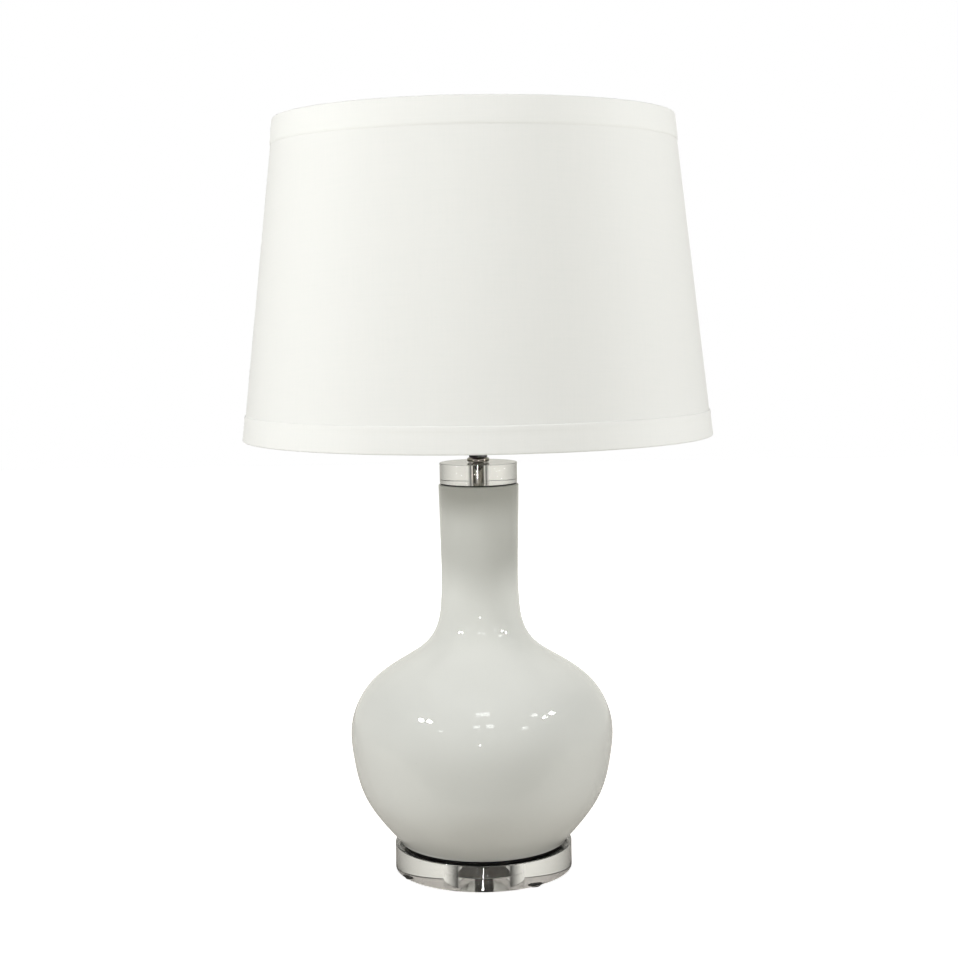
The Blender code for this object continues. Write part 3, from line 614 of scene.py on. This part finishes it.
def build_saddle():
    low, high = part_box("harp_saddle")
    thickness = 1.6 * MM
    middle_height = low.z + thickness / 2
    half_span = high.y - thickness / 2
    bend = 5 * MM
    posts = half_span - bend
    half = [(0, middle_height, 8.0), (6 * MM, middle_height, 8.0), (9 * MM, middle_height, 7.6)]
    half += [(14 * MM, middle_height, 4.8), (posts - 2 * MM, middle_height, 3.2)]
    half += [(y, z, 2.6) for y, z in arc((posts, middle_height + bend), bend, -90, 0, 12)]
    half += [(half_span, high.z - 8 * MM, 2.2), (half_span, high.z - 0.2 * MM, 2.0)]
    stations = [(-y, z, width) for y, z, width in half[:0:-1]] + half
    points = []
    for y, z, width in stations:
        points += [(-width * MM, y, z), (width * MM, y, z)]
    faces = [(2 * i, 2 * i + 1, 2 * i + 3, 2 * i + 2) for i in range(len(stations) - 1)]
    saddle = mesh_object("harp_saddle_detail", points, faces)
    strip = saddle.modifiers.new("strip", "SOLIDIFY")
    strip.thickness = thickness
    strip.offset = 0.0
    strip.use_even_offset = True
    edge = saddle.modifiers.new("edge", "BEVEL")
    edge.width = 0.3 * MM
    edge.segments = 3
    stands_for(saddle, "harp_saddle", NICKEL_PAINTED_DARK)


def build_socket():
    radius, bottom, top = span("socket_cap")
    wall = radius - 1.0 * MM
    corners = [(radius, top, 0.4 * MM), (radius, top - 6 * MM, 1.5 * MM)]
    corners += [(radius - 1.2 * MM, top - 8 * MM, 1.5 * MM)]
    corners += [(radius - 2.5 * MM, top - 12 * MM, 3 * MM)]
    corners += [(8 * MM, bottom + 9 * MM, 2 * MM), (8 * MM, bottom, 0.5 * MM)]
    corners += [(PIPE_HOLE, bottom, 0.2 * MM), (PIPE_HOLE, bottom + 9 * MM, 0.3 * MM)]
    corners += [(wall - 2.5 * MM, top - 10 * MM, 1 * MM), (wall, top - 6 * MM, 1 * MM)]
    corners += [(wall, top, 0.2 * MM)]
    stands_for(turned("socket_cap_detail", rounded(corners), 128), "socket_cap", NICKEL_PAINTED_DARK)

    radius, bottom, top = span("socket_shell")
    inner = radius - 0.6 * MM
    skin = radius - 0.15 * MM
    corners = [(radius, top, 0.3 * MM), (radius, top - 2 * MM, 0.4 * MM)]
    corners += [(skin, top - 2.6 * MM, 0.4 * MM)]
    for height in (14, 18):
        bead = top - height * MM
        corners += [(skin, bead + 1.2 * MM, 0.3 * MM), (radius, bead, 0.6 * MM)]
        corners += [(skin, bead - 1.2 * MM, 0.3 * MM)]
    corners += [(skin, bottom, 0.2 * MM), (inner, bottom, 0.1 * MM), (inner, top, 0.1 * MM)]
    shell = turned("socket_shell_detail", rounded(corners), 128)
    stem_height = middle("switch_stem").z
    drill = laid(turned("stem_drill", [(0, 30 * MM), (2.6 * MM, 30 * MM), (2.6 * MM, 10 * MM),
                                       (0, 10 * MM)], 32, closed=False), (1, 0, 0),
                 (0, 0, stem_height))
    hole = shell.modifiers.new("stem_hole", "BOOLEAN")
    hole.operation = "DIFFERENCE"
    hole.object = drill
    bpy.context.view_layer.update()
    graph = bpy.context.evaluated_depsgraph_get()
    cut = bpy.data.meshes.new_from_object(shell.evaluated_get(graph))
    shell.modifiers.clear()
    shell.data = cut
    bpy.data.objects.remove(drill)
    stands_for(shell, "socket_shell", NICKEL_PAINTED_DARK)

    radius, bottom, top = span("screw_shell")
    wall = 0.45 * MM
    side = upright(radius, top, bottom + 2 * MM, BULB_PITCH / 10)
    inside = [(r - wall, z) for r, z in side[::-1]]
    outline = side + [(radius - 0.3 * MM, bottom), (4.5 * MM, bottom)]
    outline += [(4.5 * MM, bottom + 0.5 * MM), (radius - wall - 0.3 * MM, bottom + 0.5 * MM)]
    outline += inside
    stands_for(turned("screw_shell_detail", outline, 96), "screw_shell", BRASS)
    for node in ("socket_set_screw", "terminal_screw_front", "terminal_screw_back"):
        repaint(node, BRASS)
    repaint("centre_contact", BRASS)
    repaint("socket_liner", CARD)
    repaint("socket_core", BLACK_PLASTIC)


def build_switch():
    low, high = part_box("switch_knob")
    radius = (high.z - low.z) / 2
    length = high.x - low.x

    def ribs(angle, r, z):
        if r[0] < 0.7 * radius or not 1.2 * MM < z < length - 2.5 * MM:
            return r
        return r - 0.35 * MM * (0.5 + 0.5 * np.cos(20 * angle)) ** 2
    corners = [(0, length, 0), (radius - 0.8 * MM, length, 1.2 * MM)]
    corners += [(radius - 0.1 * MM, length - 2.6 * MM, 0.2 * MM)]
    side = rounded(corners, closed=False)
    side += upright(radius - 0.1 * MM, length - 3 * MM, 1 * MM, 1 * MM)
    side += [(radius, 0.6 * MM), (radius, 0), (2.1 * MM, 0), (2.1 * MM, 9.6 * MM), (0, 9.6 * MM)]
    knob = turned("switch_knob_detail", side, 160, closed=False, change=ribs)
    laid(knob, (1, 0, 0), (low.x, 0, middle("switch_knob").z))
    stands_for(knob, "switch_knob", BLACK_PLASTIC)
    repaint("switch_stem", BRASS)


def build_bulb():
    radius, bottom, top = span("bulb_base")
    low_side = bottom + 5.5 * MM
    side = upright(radius, top, low_side, BULB_PITCH / 12)
    screw = thread(top - 1.5 * MM, low_side, BULB_PITCH, 0.9 * MM, radius)
    outline = [(0, bottom + 11.7 * MM), (12.2 * MM, bottom + 11.7 * MM), (12.2 * MM, top)]
    tip = [(radius - 0.1 * MM, low_side, 0), (11.2 * MM, bottom + 3.6 * MM, 1 * MM)]
    tip += [(4.7 * MM, bottom + 1.2 * MM, 0.5 * MM), (4.7 * MM, bottom, 0.6 * MM), (0, bottom, 0)]
    outline += side + rounded(tip, closed=False)[1:]
    base = turned("bulb_base_detail", outline, 96, closed=False, change=screw)
    stands_for(base, "bulb_base", ALUMINIUM)
    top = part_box("bulb_globe")[1].z
    knots = [(radius * MM, bottom + height * MM) for height, radius in BULB_OUTLINE]
    path = smooth_path(knots + [(0, top)], 80)[::-1]
    path[0][0] = 0
    wall = []
    for r, z in path[::-1]:
        on_crown = r < 12 * MM and z > bottom + 60 * MM
        wall.append((max(r - GLASS_WALL, 0), z - GLASS_WALL if on_crown else z))
    wall[-1] = (0, top - GLASS_WALL)
    globe = turned("bulb_globe_detail", [tuple(p) for p in path] + wall, 96, closed=False)
    stands_for(globe, "bulb_globe", OPAL)


def build_harp():
    low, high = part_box("harp_wire")
    radius = (high.x - low.x) / 2
    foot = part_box("harp_saddle")[0].z
    leg = middle("harp_sleeve_back").y + 0.95 * MM
    crown = high.z - radius
    bow = 57 * MM
    half = [(leg, low.z), (leg, foot + 26 * MM), (leg, foot + 44 * MM)]
    half += [(leg + 11 * MM, foot + 66 * MM), (bow, foot + 112 * MM)]
    half += [(bow - 5 * MM, foot + 170 * MM), (bow - 20 * MM, foot + 225 * MM)]
    half += [(bow - 38 * MM, crown - 6 * MM), (8 * MM, crown)]
    side = smooth_path(half, 90)
    path = [(0, -y, z) for y, z in side] + [(0, y, z) for y, z in side[::-1]]
    stands_for(wire("harp_wire_detail", path, radius), "harp_wire", NICKEL_PAINTED_DARK)
    for name in ("front", "back"):
        disc(f"harp_sleeve_{name}", 3.7 * MM, 0.4 * MM, NICKEL_PAINTED_DARK, 64)

    seat, bottom, top = span("harp_stud")
    shoulder = bottom + 3 * MM
    stud = 3.1 * MM
    outline = [(0, top), (stud - 0.5 * MM, top)]
    outline += upright(stud, top - 0.5 * MM, shoulder + 0.3 * MM, THREAD_PITCH / 6)
    outline += rounded([(stud, shoulder, 0), (seat, shoulder, 0.4 * MM), (seat, bottom, 0.4 * MM),
                        (0, bottom, 0)], closed=False)
    cut = thread(top, shoulder + 0.5 * MM, THREAD_PITCH, 0.4 * MM, stud)

    def stud_thread(angle, r, z):
        return cut(angle, r, z) if r[0] < stud + 1e-6 else r
    stands_for(turned("harp_stud_detail", outline, 64, closed=False, change=stud_thread),
               "harp_stud", NICKEL_PAINTED_DARK)


def build_finial():
    radius, bottom, top = span("finial")
    ball = 6.6 * MM
    crown = arc((0, top - ball), ball, 90, -40, 28)
    crown[0] = (0, top)
    corners = [(crown[-1][0], crown[-1][1], 0), (4.4 * MM, bottom + 4.4 * MM, 0.6 * MM)]
    corners += [(4.8 * MM, bottom + 3 * MM, 1 * MM), (radius, bottom + 1.6 * MM, 0.6 * MM)]
    corners += [(radius, bottom, 0.3 * MM), (3.5 * MM, bottom, 0.2 * MM)]
    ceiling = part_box("harp_stud")[1].z + 0.5 * MM
    corners += [(3.5 * MM, ceiling, 0.2 * MM), (0, ceiling, 0)]
    outline = crown + rounded(corners, closed=False)[1:]
    stands_for(turned("finial_detail", outline, 96, closed=False), "finial", NICKEL_PAINTED_DARK)


def ripple(turns, seed, size):
    """A slow, seamless waver round the shade, as of hand-laid cloth."""
    chance = np.random.default_rng(seed)
    wave = np.zeros_like(turns)
    for count in (2, 3, 5, 8, 13, 21, 34):
        wave += chance.normal() * np.sin(count * turns + chance.uniform(0, 2 * pi)) / sqrt(count)
    return size * wave / 1.6


def sleeve_faces(rows, steps):
    """Faces joining rings of points, the last ring to the first."""
    faces = []
    for i in range(rows):
        k = (i + 1) % rows
        for j in range(steps):
            n = (j + 1) % steps
            faces.append((i * steps + j, k * steps + j, k * steps + n, i * steps + n))
    return faces


def cloth_cone(name, bottom, top, inset, thickness, rows, steps, waver):
    """A thin closed sleeve on the shade's cone, with a faint unevenness in its face."""
    turns = np.arange(steps) * 2 * pi / steps
    heights = np.linspace(top, bottom, rows)
    points = []
    for layer in (0, 1):
        for i, z in enumerate(heights if layer == 0 else heights[::-1]):
            lift = ripple(turns + 0.4 * z / 0.27, 7, waver) if layer == 0 else 0 * turns
            radii = shade_radius(z, inset + layer * thickness) + lift
            points += [(r * cos(a), r * sin(a), z) for r, a in zip(radii, turns)]
    return mesh_object(name, points, sleeve_faces(2 * rows, steps), 40)


def trim_outline(edge, inward):
    """(height, inset) round a trim; the lower one ends in a doubled fold, the upper lies flat."""
    far = edge + inward * TRIM_HEIGHT
    roll = 1.3 * MM
    lip = 5.2 * MM
    if inward > 0:
        fold = [(0.0, 0.62), (0.12, 0.22), (0.5, 0.02), (1.2, -0.06), (3.7, -0.02), (4.5, 0.10)]
        fold += [(5.3, 0.18)]
    else:
        fold = [(0.0, 0.80), (0.4, 0.66), (1.0, 0.46), (2.0, 0.30), (3.5, 0.22), (5.3, 0.18)]
    face = [(far - inward * run * MM, inset * MM) for run, inset in fold]
    for share in np.linspace(0.35, 0.85, 8):
        bulge = 0.10 * MM * sin(pi * (share - 0.35) / 0.5)
        face.append((far - inward * share * TRIM_HEIGHT, 0.18 * MM - bulge))
    for angle in np.linspace(0, pi / 2, 9):
        face.append((edge + inward * roll * (1 - sin(angle)), 0.1 * MM + roll * (1 - cos(angle))))
    face += [(edge, lip - 0.5 * MM), (edge + inward * 0.2 * MM, lip)]
    face += [(edge + inward * 0.6 * MM, lip - 0.1 * MM), (edge + inward * 0.7 * MM, 2.5 * MM)]
    face += [(edge + inward * 0.9 * MM, 1.2 * MM), (edge + inward * 1.6 * MM, 0.75 * MM)]
    face += [(edge + inward * 0.5 * TRIM_HEIGHT, 0.85 * MM), (far - inward * 0.3 * MM, 0.85 * MM)]
    return face


def trim(name, edge, inward, seed, steps=360):
    """A folded tape round the shade's edge; inward is +1 at the bottom and -1 at the top."""
    turns = np.arange(steps) * 2 * pi / steps
    outline = trim_outline(edge, inward)[::-1]
    sway = ripple(turns, seed, 0.22 * MM)
    puff = ripple(turns, seed + 1, 0.07 * MM)
    points = []
    for z, inset in outline:
        reach = min(1.0, abs(z - edge) / (6 * MM))
        heights = z + sway * reach
        radii = shade_radius(heights, inset) + puff * reach * (inset < 0.5 * MM)
        points += [(r * cos(a), r * sin(a), h) for r, a, h in zip(radii, turns, heights)]
    obj = mesh_object(name, points, sleeve_faces(len(outline), steps), 50)
    bm = bmesh.new()
    bm.from_mesh(obj.data)
    bmesh.ops.recalc_face_normals(bm, faces=bm.faces)
    bm.to_mesh(obj.data)
    bm.free()
    return obj


def seam_strip(name, bottom, top, inset, width, thickness):
    """The lapped seam at the back of the shade: a narrow strip with a soft edge."""
    points = []
    rows = np.linspace(bottom, top, 60)
    profile = [(-0.5, 0.0), (-0.47, 0.8), (-0.40, 1.0), (0.40, 1.0), (0.47, 0.8), (0.5, 0.0)]
    for z in rows:
        for share, lift in profile:
            radius = shade_radius(z, inset) + lift * thickness
            turn = pi / 2 + share * width / radius
            points.append((radius * cos(turn), radius * sin(turn), z))
    count = len(profile)
    faces = [(i * count + j, (i + 1) * count + j, (i + 1) * count + j + 1, i * count + j + 1)
             for i in range(len(rows) - 1) for j in range(count - 1)]
    return mesh_object(name, points, faces, 60)


def build_shade():
    fabric = cloth_cone("shade_fabric_detail", SHADE_BOTTOM + 1 * MM, SHADE_TOP - 1 * MM,
                        FABRIC_INSET, FABRIC_THICKNESS, 90, 360, 0.10 * MM)
    stands_for(fabric, "shade_fabric", SHADE_LINEN)
    bottom_trim = trim("shade_trim_bottom_detail", SHADE_BOTTOM, 1, 21)
    stands_for(bottom_trim, "shade_trim_bottom", TAPE_LINEN)
    top_trim = trim("shade_trim_top_detail", SHADE_TOP, -1, 34)
    stands_for(top_trim, "shade_trim_top", TAPE_LINEN)
    seam = seam_strip("shade_seam", SHADE_BOTTOM + TRIM_HEIGHT - 2 * MM,
                      SHADE_TOP - TRIM_HEIGHT + 2 * MM, FABRIC_INSET, 11 * MM, 0.45 * MM)
    seam.data.materials.append(SHADE_LINEN)
    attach(seam, "shade")

    lining_inset = FABRIC_INSET + FABRIC_THICKNESS + GAP
    lining = cloth_cone("shade_styrene_detail", SHADE_BOTTOM + 1 * MM, SHADE_TOP - 1 * MM,
                        lining_inset, LINING_THICKNESS, 30, 240, 0.0)
    stands_for(lining, "shade_styrene", STYRENE)
    for node in ("shade_ring_bottom", "shade_ring_top"):
        low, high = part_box(node)
        radius = (high.z - low.z) / 2
        height = (high.z + low.z) / 2
        turn = wire(node + "_detail", circle(high.x - radius, height, 240), 1.2 * MM, True)
        stands_for(turn, node, STEEL)
    build_spider()


def build_spider():
    ring_low, ring_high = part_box("shade_ring_top")
    ring_height = (ring_low.z + ring_high.z) / 2
    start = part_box("harp_stud")[0].z + 4.05 * MM
    corners = [(13 * MM, start + 0.75 * MM, 0.4 * MM), (13 * MM, start - 0.75 * MM, 0.4 * MM)]
    corners += [(3.5 * MM, start - 0.75 * MM, 0.2 * MM), (3.5 * MM, start + 0.75 * MM, 0.2 * MM)]
    washer = turned("shade_spider_washer", rounded(corners), 96)
    stands_for(washer, "shade_spider", STEEL)
    reach = ring_high.x - 2.4 * MM
    arm = smooth_path([(9 * MM, start), (35 * MM, start), (90 * MM, start + 4 * MM),
                       (140 * MM, ring_height - 3 * MM), (reach, ring_height)], 60)
    for number in range(3):
        turn = 2 * pi * number / 3
        path = [(r * cos(turn), r * sin(turn), z) for r, z in arm]
        piece = wire(f"shade_spider_arm_{number + 1}", path, 1.4 * MM)
        stands_for(piece, "shade_spider", STEEL, replaces=False)


# ---------------------------------------------------------------- the studio

# Softboxes: (azimuth, elevation, power in watts)
SOFT_LIGHTS = [
    (-12, 34, 1.7), (-65, 20, 14.0), (-65, 34, 14.6), (100, 34, 7.3), (12, 20, 8.1),
    (65, 20, 4.0), (65, 34, 12.8), (180, 34, 10.0), (180, 6, 3.0),
]
LIGHT_CENTRE = Vector((0, 0, 0.3))
LIGHT_DISTANCE = 2.2

# Highlights: (where seen on the glaze, direction, distance, width, height, power)
GLINTS = [
    ((-0.050, -0.093, 0.155), (-0.722, -0.321, 0.613), 0.42, 0.034, 0.028, 0.5),
    ((-0.043, -0.097, 0.154), (-0.648, -0.425, 0.632), 0.42, 0.034, 0.026, 0.5),
    ((0.058, -0.086, 0.158), (0.773, -0.119, 0.623), 0.33, 0.030, 0.026, 0.5),
    ((0.051, -0.092, 0.156), (0.735, -0.274, 0.620), 0.33, 0.020, 0.014, 0.2),
    ((0.043, -0.094, 0.158), (0.628, -0.322, 0.709), 0.40, 0.050, 0.030, 0.035),
    ((0.001, -0.102, 0.161), (0.017, -0.486, 0.874), 0.60, 0.110, 0.075, 0.14),
    ((-0.004, -0.107, 0.152), (-0.066, -0.757, 0.650), 0.60, 0.060, 0.045, 0.050),
    ((0.007, -0.107, 0.152), (0.113, -0.740, 0.663), 0.60, 0.070, 0.050, 0.065),
    ((0.035, -0.103, 0.150), (0.568, -0.608, 0.555), 0.60, 0.060, 0.040, 0.040),
    ((-0.035, -0.104, 0.148), (-0.563, -0.645, 0.516), 0.60, 0.055, 0.020, 0.018),
    ((-0.020, -0.109, 0.143), (-0.354, -0.838, 0.416), 0.60, 0.070, 0.012, 0.010),
    ((0.024, -0.109, 0.142), (0.411, -0.824, 0.390), 0.60, 0.060, 0.012, 0.008),
    ((-0.002, -0.113, 0.138), (-0.044, -0.964, 0.261), 0.60, 0.020, 0.020, 0.40),
    ((0.000, -0.035, 0.336), (0.085, -0.980, -0.185), 0.42, 0.018, 0.010, 0.0022),
]

def area_light(name, place, aim, size, power, colour=(1, 1, 1), shape="RECTANGLE", height=None):
    lamp = bpy.data.lights.new(name, "AREA")
    lamp.shape = shape
    lamp.size = size
    if height:
        lamp.size_y = height
    lamp.energy = power
    lamp.color = colour
    obj = bpy.data.objects.new(name, lamp)
    obj.location = place
    obj.rotation_euler = (Vector(aim) - Vector(place)).to_track_quat("-Z", "Y").to_euler()
    bpy.context.scene.collection.objects.link(obj)
    obj.visible_camera = False
    return obj


def build_floor():
    """A burned-out white floor for the eye, and a matt white table top that lights the lamp, with
    painted shade and painted light under the base.
    """
    floor = mesh_object("floor", [(-4, -4, 0), (4, -4, 0), (4, 4, 0), (-4, 4, 0)], [(0, 1, 2, 3)])
    m = Nodes("pale_floor", Roughness=0.9, Emission_Strength=1.0)
    m.set(Base_Color=m.blend(m.noise(m.place(), 3.0), (0.90, 0.90, 0.90), (0.92, 0.92, 0.92)))
    m.shader.inputs["Emission Color"].default_value = (1, 1, 1, 1)
    floor.data.materials.append(m.material)
    floor.visible_diffuse = False
    floor.visible_glossy = False
    floor.visible_transmission = False
    floor.visible_shadow = False
    front = -0.2
    table = mesh_object("table", [(-0.9, front, 0), (0.9, front, 0), (0.9, 1, 0), (-0.9, 1, 0)],
                        [(0, 1, 2, 3)])
    m = Nodes("table_top_with_painted_shadow", Roughness=0.9)
    away = m.add("VectorMath", m.place(), operation="LENGTH").node.outputs["Value"]
    # Painted shadow: a near-black ring on the table, from about 40 to 88 mm out, under the acrylic
    # base.
    outer = m.between(away, 1.0, 0.0, 0.078, 0.088)
    under = m.maths("MULTIPLY", outer, m.between(away, 0.0, 1.0, 0.040, 0.052))
    paper_and_painted_light = m.blend(m.noise(m.place(), 3.0), (0.65, 0.62, 0.575), (0.67, 0.64, 0.595))
    # Painted light: the paper within about 30 mm of the middle, under the base's recess, is
    # painted brighter.
    paper_and_painted_light = m.blend(m.between(away, 0.0, 1.0, 0.028, 0.036), (0.95, 0.92, 0.86), paper_and_painted_light)
    m.set(Base_Color=m.blend(under, paper_and_painted_light, (0.05, 0.045, 0.035)))
    table.data.materials.append(m.material)
    table.visible_camera = False


def build_world():
    """The room round the table: dim for soft light, bright behind the lamp for shiny parts."""
    world = bpy.data.worlds.new("studio")
    bpy.context.scene.world = world
    world.use_nodes = True
    tree = world.node_tree
    background = tree.nodes["Background"]
    split = tree.nodes.new("ShaderNodeSeparateXYZ")
    tree.links.new(tree.nodes.new("ShaderNodeTexCoord").outputs["Generated"], split.inputs[0])
    path = tree.nodes.new("ShaderNodeLightPath").outputs

    def gradient(axis, start, end, low, high):
        node = tree.nodes.new("ShaderNodeMapRange")
        values = {"From Min": start, "From Max": end, "To Min": low, "To Max": high}
        for key, value in values.items():
            node.inputs[key].default_value = value
        tree.links.new(split.outputs[axis], node.inputs["Value"])
        return node.outputs[0]

    def maths(operation, first, second):
        node = tree.nodes.new("ShaderNodeMath")
        node.operation = operation
        for socket, value in zip(node.inputs, (first, second)):
            if isinstance(value, bpy.types.NodeSocket):
                tree.links.new(value, socket)
            else:
                socket.default_value = value
        return node.outputs[0]

    def choose(factor, otherwise, chosen):
        node = tree.nodes.new("ShaderNodeMix")
        for socket, value in ((node.inputs[0], factor), (node.inputs[2], otherwise),
                              (node.inputs[3], chosen)):
            tree.links.new(value, socket)
        return node.outputs[0]

    # What matt surfaces, shiny surfaces and clear pieces receive from each direction
    soft = gradient("Z", -0.03, 0.03, 0.60, 0.05)
    gloss = maths("ADD", gradient("Y", 0.1, 0.9, 0.06, 0.80), gradient("Z", 0.3, 1.0, 0.0, 0.3))
    flash = maths("LESS_THAN", maths("ABSOLUTE", split.outputs[0], 0.0), 0.014)
    front = maths("ADD", maths("MULTIPLY", flash, 2.0), 0.18)
    rising = gradient("Z", -0.4, -0.1, 0.5, 0.80)
    falling = gradient("Z", 0.04, 0.3, 0.80, 0.40)
    back = maths("MINIMUM", rising, falling)
    clear = choose(gradient("Y", -0.2, 0.05, 0.0, 1.0), front, back)
    direct = choose(path["Is Glossy Ray"], clear, gloss)
    bounced = maths("GREATER_THAN", path["Diffuse Depth"], 0.5)
    lit = choose(bounced, direct, soft)
    seen = maths("MAXIMUM", lit, path["Is Camera Ray"])
    tree.links.new(seen, background.inputs[1])
    tint = tree.nodes.new("ShaderNodeMix")
    tint.data_type = "RGBA"
    tree.links.new(path["Is Camera Ray"], tint.inputs[0])
    tint.inputs[6].default_value = (1.0, 0.985, 0.90, 1)
    tint.inputs[7].default_value = (1, 1, 1, 1)
    tree.links.new(tint.outputs[2], background.inputs[0])


def soft_light(number, azimuth, elevation, power):
    """A softbox round the lamp: azimuth from the front, to the right; gloss doesn't show it."""
    turn, lift = radians(azimuth), radians(elevation)
    away = Vector((sin(turn) * cos(lift), -cos(turn) * cos(lift), sin(lift)))
    place = LIGHT_CENTRE + LIGHT_DISTANCE * away
    lamp = area_light(f"softbox_{number}", place, LIGHT_CENTRE, 0.6, power)
    lamp.visible_glossy = False
    lamp.visible_transmission = False


def glint(number, start, direction, distance, size, power, height=None):
    """A small lamp that only shows as a highlight, seen from a place in a direction."""
    direction = Vector(direction).normalized()
    place = Vector(start) + distance * direction
    lamp = area_light(f"glint_{number}", place, start, size, power, height=height)
    lamp.visible_diffuse = False
    lamp.visible_transmission = False


def edge_line(base):
    """A thin strip light on the table that only the acrylic edge mirrors, as an upright line."""
    place = (-1.6 * MM, -119.5 * MM, 2 * MM)
    lamp = area_light("edge_strip", place, LIGHT_CENTRE, 1.8 * MM, 0.014, height=75 * MM)
    lamp.rotation_euler = (pi, 0, 0)        # face up, along the line of sight
    lamp.visible_diffuse = False
    lamp.visible_transmission = False
    receiver = bpy.data.collections.new("edge_line_receiver")
    receiver.objects.link(base)
    lamp.light_linking.receiver_collection = receiver


def build_studio():
    build_floor()
    build_world()
    for number, (azimuth, elevation, power) in enumerate(SOFT_LIGHTS, 1):
        soft_light(number, azimuth, elevation, power)
    for number, (start, direction, distance, size, height, power) in enumerate(GLINTS, 1):
        glint(number, start, direction, distance, size, power, height)
    edge_line(bpy.data.objects["base_disc_detail"])

    camera = bpy.data.objects.new("camera", bpy.data.cameras.new("camera"))
    camera.data.lens = LENS_MM
    camera.data.sensor_width = 36
    camera.location = EYE
    pitch = Matrix.Rotation(radians(90 - PITCH_DOWN), 4, "X")
    roll = Matrix.Rotation(radians(ROLL), 4, "Z")
    camera.rotation_euler = (pitch @ roll).to_euler()
    bpy.context.scene.collection.objects.link(camera)
    bpy.context.scene.camera = camera
    bpy.context.scene.view_settings.view_transform = "Standard"


build_base()
build_clamp()
build_body()
build_neck()
build_saddle()
build_socket()
build_switch()
build_bulb()
build_harp()
build_finial()
build_shade()
build_studio()
